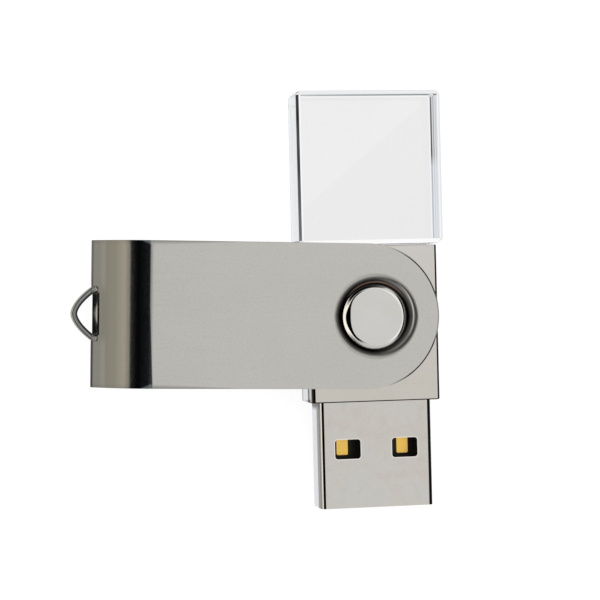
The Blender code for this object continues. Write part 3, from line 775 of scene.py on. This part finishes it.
# Dish round the stud: (distance from the pivot, depth below the outer flat)
DISH_OUTER = [
    (2.40, 0.42), (3.44, 0.42), (3.50, 0.418), (3.56, 0.395), (3.64, 0.345), (3.74, 0.27),
    (3.85, 0.19), (3.96, 0.122), (4.07, 0.070), (4.18, 0.033), (4.29, 0.011), (4.40, 0.0),
]
DISH_INNER = [
    (2.40, 0.775), (3.60, 0.775), (3.72, 0.765), (3.82, 0.74), (3.92, 0.70), (4.02, 0.655),
    (4.12, 0.62), (4.24, 0.603), (4.34, STRIP_SHEET),
]


def bend_point(slope, inset):
    """(x, height) in the closed end where the sheet has turned by slope, 0 to pi."""
    folded = min(slope, math.pi - slope)
    x, drop, start = FLAT_END_X, 0.0, 0.0
    for radius, end in BEND_ARCS:
        end = math.radians(end)
        stop = min(folded, end)
        x -= (radius - inset) * (math.sin(stop) - math.sin(start))
        drop += (radius - inset) * (math.cos(start) - math.cos(stop))
        start = stop
        if folded <= end:
            break
    height = MID - inset - drop
    return x, (height if slope <= math.pi / 2 else -height)


def slope_at(height):
    """Slope at which the bend's outer face comes down to this height."""
    low, high = 0.0, math.pi / 2
    for _ in range(40):
        middle = (low + high) / 2
        low, high = (middle, high) if bend_point(middle, 0.0)[1] > height else (low, middle)
    return high


class StripSheet:
    """Outer and inner faces of the strip, made of the same quads."""

    def __init__(self):
        self.outer = []
        self.inner = []
        self.index = {}
        self.faces = []

    def vertex(self, part, place, y):
        """Index of a vertex; part is 1 or -1 for a flat (place is x), "bend" (place is slope)."""
        if part == "bend" and abs(place) < 1e-6:
            part, place = 1, FLAT_END_X
        elif part == "bend" and abs(place - math.pi) < 1e-6:
            part, place = -1, FLAT_END_X
        key = (part, round(place, 4), round(y, 4))
        if key not in self.index:
            points = self.bend_pair(place, y) if part == "bend" else self.flat_pair(part, place, y)
            self.index[key] = len(self.outer)
            self.outer.append(points[0])
            self.inner.append(points[1])
        return self.index[key]

    def bend_pair(self, slope, y):
        outer_x, outer_height = bend_point(slope, 0.0)
        inner_x, inner_height = bend_point(slope, STRIP_SHEET)
        # the strip is drawn in a little round the roots of the key loop
        near = smoothstep(2.2, 1.1, abs(outer_height)) * smoothstep(3.2, 2.1, abs(y))
        return ((outer_x + 0.04 * near, y, outer_height),
                (inner_x + 0.03 * near, y, inner_height))

    def flat_pair(self, side, x, y):
        radius = math.hypot(x, y)
        return ((x, y, side * (MID - interpolate(DISH_OUTER, radius))),
                (x, y, side * (MID - interpolate(DISH_INNER, radius))))

    def add_quad(self, side, quad):
        self.faces.append(quad if side > 0 else quad[::-1])

    def add_rings(self, side):
        """Rings from the pivot hole out to the outline of the free end."""
        rim = []
        for i in range(65):
            angle = math.radians(-90 + 180 * i / 64)
            rim.append((END_CENTRE_X + STRIP_HALF * math.cos(angle), STRIP_HALF * math.sin(angle)))
        rim += [(x, STRIP_HALF) for x in EDGE_X]
        rim += [(JOIN_X, y) for y in GRID_Y[::-1]]
        rim += [(x, -STRIP_HALF) for x in EDGE_X[::-1]]
        dish_radii = {radius for radius, _ in DISH_OUTER + DISH_INNER}
        rings = []
        for radius in sorted(dish_radii | {2.8, 3.2, RING_RADIUS}):
            ring = []
            for x, y in rim:
                reach = math.hypot(x, y)
                ring.append(self.vertex(side, x / reach * radius, y / reach * radius))
            rings.append(ring)
        for share in RING_SHARES:
            ring = []
            for x, y in rim:
                scale = (RING_RADIUS / math.hypot(x, y)) * (1 - share) + share
                ring.append(self.vertex(side, x * scale, y * scale))
            rings.append(ring)
        for inside, outside in zip(rings, rings[1:]):
            for i in range(len(inside)):
                j = (i + 1) % len(inside)
                self.add_quad(side, [inside[i], outside[i], outside[j], inside[j]])

    def add_grid(self, part, side, places, skip=lambda place0, place1, y0, y1: False):
        for place0, place1 in zip(places, places[1:]):
            for y0, y1 in zip(GRID_Y, GRID_Y[1:]):
                if not skip(place0, place1, y0, y1):
                    self.add_quad(side, [self.vertex(part, place0, y0),
                                         self.vertex(part, place0, y1),
                                         self.vertex(part, place1, y1),
                                         self.vertex(part, place1, y0)])

    def add_bend(self):
        """Closed end, with the slot left open."""
        top = slope_at(SLOT_HIGH)
        bottom = math.pi - slope_at(-SLOT_LOW)
        slopes = [top * i / BEND_STEPS for i in range(BEND_STEPS + 1)]
        slopes += [top + (bottom - top) * i / SLOT_STEPS for i in range(1, SLOT_STEPS)]
        slopes += [math.pi - (math.pi - bottom) * i / BEND_STEPS
                   for i in range(BEND_STEPS, -1, -1)]

        def in_slot(slope0, slope1, y0, y1):
            return (slope0 >= top - 1e-6 and slope1 <= bottom + 1e-6
                    and abs(y0 + y1) / 2 < SLOT_HALF)

        self.add_grid("bend", 1, slopes, in_slot)

    def to_bmesh(self):
        shape = bmesh.new()
        outer = [shape.verts.new(p) for p in self.outer]
        inner = [shape.verts.new(p) for p in self.inner]
        # a dict rather than a set, so the edges keep their order
        edges = dict.fromkeys(
            edge for face in self.faces for edge in zip(face, face[1:] + face[:1]))
        for face in self.faces:
            shape.faces.new([outer[i] for i in face])
            shape.faces.new([inner[i] for i in face[::-1]])
        # close the sheet wherever an edge has a face on one side only
        for a, b in edges:
            if (b, a) not in edges:
                shape.faces.new([outer[b], outer[a], inner[a], inner[b]])
        return shape


def build_bracket():
    sheet = StripSheet()
    flat_x = [JOIN_X - (JOIN_X - FLAT_END_X) * i / FLAT_STEPS for i in range(FLAT_STEPS + 1)]
    for side in (1, -1):
        sheet.add_rings(side)
        sheet.add_grid(side, side, flat_x)
    sheet.add_bend()
    obj = add_piece("bracket_strip", sheet.to_bmesh(), "bracket", [STEEL],
                    "swivel_bracket")
    add_bevel(obj, 0.13, segments=4, angle=50)


LOOP_ROOT_Y = 2.80
LOOP_STEPS = 48
LOOP_LOW, LOOP_HEIGHT = -0.42, 1.54


def build_loop():
    """Band lanced from the closed end, one loop sheet thick."""
    outer = []
    for i in range(LOOP_STEPS + 1):
        y = LOOP_ROOT_Y - 2 * LOOP_ROOT_Y * i / LOOP_STEPS
        outer.append(Vector((LOOP_TIP_X + LOOP_CURVE * abs(y) ** LOOP_POWER, y)))
    inner = []
    for i, point in enumerate(outer):
        before, after = outer[max(0, i - 1)], outer[min(LOOP_STEPS, i + 1)]
        way = (after - before).normalized()
        inner.append(point + Vector((-way.y, way.x)) * LOOP_SHEET)
    # both ends run into the strip
    for end, side in ((0, 1), (-1, -1)):
        outer[end] += Vector((0.35, side * 0.10))
        inner[end] += Vector((0.30, side * 0.10))
    outline = [(p.x, p.y, LOOP_LOW) for p in outer + inner[::-1]]
    obj = add_piece("key_loop", prism(outline, (0, 0, LOOP_HEIGHT)), "bracket", [STEEL],
                    "swivel_bracket", sharp_angle=40)
    add_bevel(obj, 0.15, segments=4, angle=50)


build_bracket()
build_loop()

# ---------------------------------------------------------------- pivot studs
STUD_FLAT_RADIUS = 2.54
STUD_CROWN_WIDTH, STUD_CROWN_DROP = 0.86, 0.35      # the rounded border of the flat
STUD_CROWN_STEPS = 20
# Underside of the head, neck and foot: (radius, height)
STUD_SHANK = [(3.38, 3.33), (2.30, 3.34), (2.30, 2.83), (1.60, 2.83), (1.60, 2.26),
              (2.10, 2.26), (2.10, 2.06), (0.0, 2.06)]
STUD_HEAD_LOW = 3.2             # everything above this height belongs to the head
STUD_HEAD_SHIFT = Vector((-0.07, -0.07, 0.0))
# How much further than the round the flat reaches: (angle from +X in degrees, reach)
FLAT_REACH = [(0, 0.11), (45, -0.03), (90, 0.28), (135, 0.34), (180, 0.02), (225, 0.22),
              (270, 0.07), (315, 0.0), (360, 0.11)]


def flat_reach(angle):
    """FLAT_REACH at this angle, eased between its entries."""
    for (angle0, reach0), (angle1, reach1) in zip(FLAT_REACH, FLAT_REACH[1:]):
        if angle <= angle1:
            return reach0 + (reach1 - reach0) * smoothstep(angle0, angle1, angle)
    return FLAT_REACH[-1][1]


def stud_mesh(side):
    profile = [(0.0, MID), (1.4, MID), (STUD_FLAT_RADIUS, MID)]
    for i in range(1, STUD_CROWN_STEPS + 1):
        out = STUD_CROWN_WIDTH * i / STUD_CROWN_STEPS
        drop = STUD_CROWN_DROP * (out / STUD_CROWN_WIDTH) ** 2
        profile.append((STUD_FLAT_RADIUS + out, MID - drop))
    profile += STUD_SHANK
    shape = turned([(radius, side * height) for radius, height in profile], segments=128)
    for vert in shape.verts:
        if abs(vert.co.z) <= STUD_HEAD_LOW:
            continue
        radius = math.hypot(vert.co.x, vert.co.y)
        angle = math.degrees(math.atan2(vert.co.y, vert.co.x)) % 360.0
        if 1.5 < radius < 3.395:
            # the flat isn't quite round: it reaches furthest between -X and +Y
            fade = smoothstep(1.5, 2.5, radius) * (1.0 - smoothstep(2.6, 3.38, radius))
            grow = 1.0 + flat_reach(angle) * fade / radius
            vert.co.x, vert.co.y = vert.co.x * grow, vert.co.y * grow
        vert.co += STUD_HEAD_SHIFT
    return shape


for side, word in ((1, "front"), (-1, "rear")):
    add_piece("stud_" + word, stud_mesh(side), "drive_body", [STUD_NICKEL],
              "pivot_stud_" + word, sharp_angle=40)

# -------------------------------------------------------------------- housing
PLUG_HALF_X, PLUG_HALF_Z = 6.0, 2.25
HOUSING_HALF_X, HOUSING_HALF_Z = 6.92, 2.80
HOUSING_PLUG_Y, HOUSING_CRYSTAL_Y = -8.94, 7.41     # its two ends
HOUSING_CORNER = 0.48
HOUSING_WALL = 0.5
HOUSING_END_ROUND = 0.12
REAR_SEAM, FRONT_SEAM = 0.88, 0.92                  # heights of the parting faces
PLUG_CLEARANCE = 0.05
BOARD_OPENING = (5.44, 1.89)                        # half sizes in X and Z, crystal end
PIVOT_HOLE_RADIUS = 1.64


def housing_section(side, seam):
    section = [(HOUSING_HALF_X, seam)]
    for side_x, start in ((1, 0), (-1, 90)):
        section += arc_points(side_x * (HOUSING_HALF_X - HOUSING_CORNER),
                              HOUSING_HALF_Z - HOUSING_CORNER, HOUSING_CORNER, start, 12)
    section.append((-HOUSING_HALF_X, seam))
    return [(x, side * height) for x, height in section]


def build_housing(name, side, seam, replaces):
    """Half of the housing; seam is the parting height on its own side, so rear is negative."""
    shape = along_y(housing_section(side, seam), HOUSING_PLUG_Y, HOUSING_CRYSTAL_Y)
    # the edges round both ends, apart from those on the parting face
    rim = [edge for edge in shape.edges
           if abs(edge.verts[0].co.y - edge.verts[1].co.y) < 1e-6
           and not all(abs(vert.co.z - side * seam) < 1e-6 for vert in edge.verts)]
    bmesh.ops.bevel(shape, geom=rim, offset=HOUSING_END_ROUND, offset_type="OFFSET", segments=4,
                    profile=0.5, affect="EDGES")
    obj = add_piece(name, shape, "drive_body", [HOUSING_NICKEL], replaces)

    middle_y = (HOUSING_CRYSTAL_Y + HOUSING_PLUG_Y) / 2
    half_y = (HOUSING_CRYSTAL_Y - HOUSING_PLUG_Y) / 2
    hollow = round_rect(HOUSING_HALF_X - HOUSING_WALL, half_y - HOUSING_WALL, 0.3, 5,
                        (0, middle_y))
    cut(obj, plan_prism(hollow, -HOUSING_HALF_Z + HOUSING_WALL, HOUSING_HALF_Z - HOUSING_WALL))
    plug_opening = round_rect(PLUG_HALF_X + PLUG_CLEARANCE, PLUG_HALF_Z + PLUG_CLEARANCE, 0.53, 8)
    cut(obj, along_y(plug_opening, HOUSING_PLUG_Y - 1.0, HOUSING_PLUG_Y + 1.2))
    half_x, half_z = BOARD_OPENING
    cut(obj, block(-half_x, half_x, HOUSING_CRYSTAL_Y - 1.0, HOUSING_CRYSTAL_Y + 1.0,
                   -half_z, half_z))
    cut(obj, turned([(0, 5), (PIVOT_HOLE_RADIUS, 5), (PIVOT_HOLE_RADIUS, -5), (0, -5)], 96))
    finish_cut_part(obj, edge_width=0.05)


build_housing("housing_front", 1, FRONT_SEAM, "housing_front_cover")
build_housing("housing_rear", -1, -REAR_SEAM, "housing_rear_shell")

# ------------------------------------------------------------------- crystal
# Stretches of the block that facet tones run over: (axis, from, to)
CHAMFER_X = CRYSTAL_HALF_X - CRYSTAL_CHAMFER
CHAMFER_Z = CRYSTAL_HALF_Z - CRYSTAL_CHAMFER
LEFT = (0, -CRYSTAL_HALF_X, -CHAMFER_X)
RIGHT = (0, CHAMFER_X, CRYSTAL_HALF_X)
TOP = (1, CRYSTAL_Y[1] - CRYSTAL_CHAMFER, CRYSTAL_Y[1])
BOTTOM = (1, CRYSTAL_Y[0], CRYSTAL_Y[0] + CRYSTAL_CHAMFER)
THICKNESS = (2, -CHAMFER_Z, CHAMFER_Z)
LENGTH = (1, 8.0, 23.6)
WIDTH = (0, -7.5, 7.5)

# Painted reflections on each facet. Name, outward direction, stretch across the facet, stretch
# along it, light painted tone, (place across, share of the dark painted tone), (place along, dark
# painted tone), share left clear
FACETS = [
    ("facet_left", (-1, 0, 1), LEFT, LENGTH, (0.95, 0.95, 0.96),
     [(0.0, 0.15), (0.08, 0.9), (0.14, 1.0), (0.60, 1.0), (0.70, 0.0), (1.0, 0.0)],
     [(0.0, (0.13, 0.13, 0.15)), (0.35, (0.06, 0.06, 0.07)), (0.6, (0.008, 0.008, 0.009)),
      (1.0, (0.003, 0.003, 0.003))], 0.0),
    ("facet_top", (0, 1, 1), TOP, WIDTH, (0.86, 0.87, 0.88),
     [(0.0, 0.1), (0.25, 0.0), (0.8, 0.0), (0.9, 0.10), (1.0, 0.35)],
     [(0.0, (0.42, 0.45, 0.48)), (0.25, (0.20, 0.24, 0.27)), (0.5, (0.16, 0.19, 0.22)),
      (0.75, (0.20, 0.23, 0.26)), (1.0, (0.15, 0.18, 0.21))], 0.0),
    ("facet_right", (1, 0, 1), RIGHT, LENGTH, (0.93, 0.94, 0.95),
     [(0.0, 0.0), (0.35, 0.05), (0.6, 0.8), (0.85, 0.35), (1.0, 0.9)],
     [(0.0, (0.70, 0.74, 0.80)), (1.0, (0.72, 0.76, 0.82))], 0.0),
    ("facet_bottom", (0, -1, 1), BOTTOM, WIDTH, (0.98, 0.98, 0.98),
     [(0.0, 0.0), (1.0, 0.0)], [(0.0, grey(0.9)), (1.0, grey(0.9))], 0.0),
    ("facet_left_rear", (-1, 0, -1), LEFT, LENGTH, (0.80, 0.815, 0.83),
     [(0.0, 0.75), (0.5, 0.30), (1.0, 0.30)],
     [(0.0, (0.5, 0.54, 0.58)), (1.0, (0.45, 0.5, 0.54))], 0.0),
    ("facet_top_rear", (0, 1, -1), TOP, WIDTH, (0.95, 0.95, 0.95),
     [(0.0, 0.0), (0.30, 0.0), (0.40, 1.0), (0.9, 1.0), (1.0, 0.5)],
     [(0.0, (0.55, 0.58, 0.60)), (0.2, (0.38, 0.41, 0.43)), (0.5, (0.30, 0.33, 0.35)),
      (0.8, (0.24, 0.27, 0.29)), (1.0, (0.20, 0.23, 0.25))], 0.0),
    ("facet_right_rear", (1, 0, -1), RIGHT, LENGTH, (0.93, 0.94, 0.95),
     [(0.0, 0.0), (0.24, 0.0), (0.30, 1.0), (0.56, 1.0), (0.64, 0.2), (0.8, 0.35), (1.0, 1.0)],
     [(0.0, (0.50, 0.55, 0.63)), (0.50, (0.44, 0.49, 0.57)), (0.58, (0.02, 0.022, 0.03)),
      (0.85, (0.05, 0.055, 0.07)), (1.0, (0.14, 0.16, 0.20))], 0.0),
    ("facet_bottom_rear", (0, -1, -1), BOTTOM, WIDTH, (0.93, 0.93, 0.93),
     [(0.0, 0.0), (1.0, 0.0)], [(0.0, grey(0.9)), (1.0, grey(0.9))], 0.0),
    ("wall_left", (-1, 0, 0), THICKNESS, LENGTH, (0.93, 0.935, 0.935),
     [(0.0, 0.65), (0.12, 0.34), (0.9, 0.26), (1.0, 0.10)],
     [(0.0, (0.66, 0.68, 0.70)), (1.0, (0.6, 0.63, 0.66))], 0.25),
    ("wall_right", (1, 0, 0), THICKNESS, LENGTH, (0.90, 0.91, 0.92),
     [(0.0, 0.85), (0.12, 0.35), (0.9, 0.12), (1.0, 0.25)],
     [(0.0, (0.6, 0.64, 0.68)), (1.0, (0.55, 0.6, 0.64))], 0.35),
]


def facet_material(name, across, along, light, mask, dark_tones, clear):
    """Polished face of the block that carries painted reflections, the tone gathered from inside
    it, laid in as glow.
    """
    mat, tree = new_material(name)
    position = tree.axes(tree.coordinates())

    def ramp_over(stretch, stops):
        axis, start, end = stretch
        return tree.ramp((position[axis] * TO_MM).map(start, end), stops)

    where = ramp_over(across, [(place, grey(share)) for place, share in mask])
    dark = ramp_over(along, dark_tones)
    wave = tree.noise((1.3, 0.35, 1.3), detail=3.0, roughness=0.6)
    dark = tree.mix(wave.map(0.35, 0.7, to_high=0.12), dark, (0.5, 0.54, 0.58))
    inner = tree.emission(tree.mix(where, light, dark))
    gloss = tree.add("ShaderNodeBsdfGlossy", {"Roughness": 0.02, "Color": grey(0.8)})
    face = tree.mix_shader(0.03, inner, gloss)
    body = glass_body(tree, (0.96, 0.97, 0.98), rough=0.0, ior=1.52)
    let_light_through(tree, tree.mix_shader(1.0 - clear, body, face),
                      tree.add("ShaderNodeBsdfTransparent"))
    return mat


def build_crystal():
    """Chamfered block; each facet takes the material slot of its row, after the plain one."""
    shape = block(-CRYSTAL_HALF_X, CRYSTAL_HALF_X, *CRYSTAL_Y, -CRYSTAL_HALF_Z, CRYSTAL_HALF_Z)
    bmesh.ops.bevel(shape, geom=list(shape.edges), offset=CRYSTAL_CHAMFER, offset_type="OFFSET",
                    segments=1, profile=0.5, affect="EDGES")
    bmesh.ops.recalc_face_normals(shape, faces=shape.faces)
    mats = [CRYSTAL]
    for index, (name, way, *look) in enumerate(FACETS, 1):
        mats.append(facet_material(name, *look))
        for face in shape.faces:
            if face.normal.dot(Vector(way).normalized()) > 0.99:
                face.material_index = index
    obj = add_piece("crystal_block_fine", shape, "drive_body", mats, "crystal_block",
                    sharp_angle=20)
    add_bevel(obj, 0.035, segments=2, angle=20)


build_crystal()

# ------------------------------------------------------------------ USB plug
PLUG_Y = (-20.05, -6.8)
PLUG_WALL = 0.3


def build_plug():
    obj = add_piece("plug_shell_fine",
                    along_y(round_rect(PLUG_HALF_X, PLUG_HALF_Z, 0.50, 12), *PLUG_Y),
                    "drive_body", [PLUG], "plug_shell")
    bore = round_rect(PLUG_HALF_X - PLUG_WALL, PLUG_HALF_Z - PLUG_WALL, 0.25, 12)
    cut(obj, along_y(bore, -21.0, -5.0))
    for sign in (-1, 1):
        window = round_rect(WINDOW_HALF_X, WINDOW_HALF_Y, WINDOW_CORNER, 8,
                            (sign * WINDOW_X, WINDOW_Y))
        cut(obj, plan_prism(window, -4.0, 4.0))
    # the joint along the middle of the rear face
    cut(obj, block(-0.03, 0.03, -22.0, -5.0, -3.0, -1.5))
    finish_cut_part(obj, edge_width=0.07)


build_plug()


# ----------------------------------------------------- nodes kept from the frame
def dress(name, mat, bevel=None):
    obj = NODES[name]
    obj.data.materials.clear()
    obj.data.materials.append(mat)
    if bevel:
        add_bevel(obj, bevel, segments=2, angle=40)


# (node, material, width of the rounded edges)
for row in (
    ("plug_insulator", POLYMER, 0.04),
    ("contact_vbus", GOLD, 0.03),
    ("contact_ground", GOLD, 0.03),
    ("contact_data_minus", GOLD, 0.03),
    ("contact_data_plus", GOLD, 0.03),
    ("circuit_board", MASK, 0.02),
    ("controller_chip", MOULDING, 0.04),
    ("memory_chip", MOULDING, 0.04),
    ("quartz_oscillator", CAN, 0.1),
    ("led", LED, 0.06),
    ("board_cradle", CRADLE, 0.08),
    ("crystal_adhesive", GLUE),
    ("light_window", ACRYLIC, 0.05),
):
    dress(*row)

# (material prefix, body colour, width of the rounded edges, (node, its centre in X)...)
for prefix, colour, bevel, chips in (
    ("ceramic_", (0.42, 0.29, 0.18), 0.04,
     (("capacitor_1", -4.4), ("capacitor_2", -4.4), ("capacitor_3", 4.2))),
    ("film_", (0.02, 0.02, 0.022), 0.03,
     (("resistor_1", 4.2), ("resistor_2", -2.8), ("resistor_3", -3.6))),
):
    for name, centre_x in chips:
        dress(name, tipped(prefix + name, colour, centre_x), bevel)

# --------------------------------------------------------------------- stage
# What polished metal sees of the floor: (x in millimetres, colour)
FLOOR_REFLECTION = [
    (-60, (0.45, 0.44, 0.41)), (-22, (0.42, 0.41, 0.38)), (-14, (0.30, 0.30, 0.29)),
    (-8.0, (0.20, 0.20, 0.19)), (-7.2, (0.80, 0.83, 0.87)), (4.0, (0.70, 0.72, 0.76)),
    (5.9, (0.02, 0.02, 0.02)), (8.0, (0.04, 0.04, 0.04)), (11.5, (0.30, 0.30, 0.295)),
    (20, (0.42, 0.42, 0.41)), (60, (0.45, 0.45, 0.43)),
]
# What it sees of the room round the Y axis: (degrees from straight up towards +X, colour)
ROOM_CARDS = [
    (-180, (0.45, 0.44, 0.41)), (-90, (0.45, 0.44, 0.41)), (-82, (0.60, 0.58, 0.53)),
    (-77, (1.02, 0.97, 0.87)), (-44, (1.05, 0.99, 0.89)), (-40, (0.002, 0.002, 0.003)),
    (2.4, (0.002, 0.002, 0.003)), (3.9, (0.605, 0.605, 0.595)), (12, (0.625, 0.625, 0.612)),
    (56, (0.64, 0.635, 0.62)), (58, (0.98, 0.97, 0.95)), (61, (0.98, 0.97, 0.95)),
    (63, (0.004, 0.004, 0.004)), (78, (0.006, 0.006, 0.006)), (92, (0.26, 0.26, 0.25)),
    (125, (0.40, 0.40, 0.385)), (180, (0.45, 0.44, 0.41)),
]
# And towards its two ends: (share of the way from -Y to +Y, colour)
ROOM_ENDS = [
    (0.0, (0.30, 0.29, 0.27)), (0.02, (0.52, 0.51, 0.49)), (0.15, (0.62, 0.61, 0.60)),
    (0.89, (0.62, 0.61, 0.60)), (0.93, (0.10, 0.095, 0.09)), (1.0, (0.08, 0.075, 0.07)),
]


def floor_reflection(tree):
    """Shaded under the drive, bright beside it, dim further out."""
    x, y = [axis * TO_MM for axis in tree.geometry_axes("Position")[:2]]
    # the housing is wider than the plug, so the pattern steps outwards beside it
    step = tree.math("SIGN", x) * (y.map(-9.0, -8.8) * 0.92)
    place = (x - step).map(-60.0, 60.0)
    seen = tree.ramp(place, spread(FLOOR_REFLECTION, -60, 60))
    edge = -6.03 + y.map(-8.9, -8.7) * -0.93
    under = (x > edge) * (x < edge * -1.0)
    return tree.mix(under, seen, (0.02, 0.02, 0.022))


def floor_material():
    mat, tree = new_material("pale_floor")
    fine = tree.noise(0.02, detail=2.0, roughness=0.5)
    tone = tree.ramp(fine, [(0.0, grey(0.165)), (1.0, grey(0.172))])
    diffuse = tree.add("ShaderNodeBsdfDiffuse", {0: tone})
    lift = tree.emission(grey(1), strength=0.885)
    pale = tree.add("ShaderNodeAddShader", {0: diffuse, 1: lift})
    glow = tree.emission(floor_reflection(tree))
    # through the crystal it reads a shade darker
    through = tree.emission((0.865, 0.864, 0.871))
    transmitted, glossy = tree.rays("Is Transmission Ray", "Is Glossy Ray")
    direct = tree.mix_shader(transmitted, pale, through)
    tree.show(tree.mix_shader(glossy - transmitted, direct, glow))
    return mat


def build_floor():
    shape = bmesh.new()
    bmesh.ops.create_grid(shape, x_segments=1, y_segments=1, size=1.2)
    # a hair below zero, clear of the bracket's underside
    floor = add_mesh("floor", shape, Matrix.Translation((0, 0, -0.00005)), [floor_material()])


def build_world():
    """Soft white light, and cards that only reflections see."""
    world = bpy.data.worlds.new("light_tent")
    world.use_nodes = True
    bpy.context.scene.world = world
    tree = Tree(world.node_tree, "ShaderNodeOutputWorld")
    x, y, z = tree.axes(tree.coordinates("Generated"))
    turn = tree.math("ARCTAN2", x, z) / math.tau + 0.5
    cards = tree.ramp(turn, spread(ROOM_CARDS, -180, 180))
    steep = abs(y).map(0.45, 0.75, smooth=True)
    ends = tree.ramp(y.map(-1.0, 1.0), ROOM_ENDS)
    reflected = tree.add("ShaderNodeBackground", {"Color": tree.mix(steep, cards, ends)})
    soft = tree.add("ShaderNodeBackground", {"Color": grey(1.0), "Strength": 1.12})
    glossy, transmitted = tree.rays("Is Glossy Ray", "Is Transmission Ray")
    tree.show(tree.mix_shader(glossy - transmitted, soft, reflected))


def build_light():
    light = bpy.data.lights.new("soft_box", "AREA")
    light.shape = "RECTANGLE"
    light.size = 0.5
    light.size_y = 0.4
    light.energy = 0.35
    obj = bpy.data.objects.new("soft_box", light)
    obj.location = (-0.10, 0.12, 0.45)
    to_origin = Vector((0, 0, 0)) - obj.location
    obj.rotation_euler = to_origin.to_track_quat("-Z", "Y").to_euler()
    obj.visible_glossy = False
    bpy.context.scene.collection.objects.link(obj)


CAMERA_YAW, CAMERA_PITCH, CAMERA_ROLL = 0.1823, 0.0063, 0.0248      # radians
PIVOT_IN_VIEW = Vector((7.2812, -1.6918, -212.2132)) * MM   # pivot centre in camera axes


def build_camera():
    turn = (Matrix.Rotation(CAMERA_ROLL, 3, "Z") @ Matrix.Rotation(CAMERA_PITCH, 3, "X")
            @ Matrix.Rotation(CAMERA_YAW, 3, "Y"))
    back = turn.transposed()
    camera = bpy.data.cameras.new("camera")
    camera.lens = 120.0
    camera.sensor_width = 36.0
    camera.clip_start = 0.01
    camera.clip_end = 10.0
    obj = bpy.data.objects.new("camera", camera)
    place = back.to_4x4()
    place.translation = -(back @ PIVOT_IN_VIEW) + Vector((0, 0, MID * MM))
    obj.matrix_world = place
    bpy.context.scene.collection.objects.link(obj)
    bpy.context.scene.camera = obj


build_floor()
build_world()
build_light()
build_camera()
bpy.context.scene.view_settings.view_transform = "Standard"
bpy.context.scene.view_settings.look = "None"
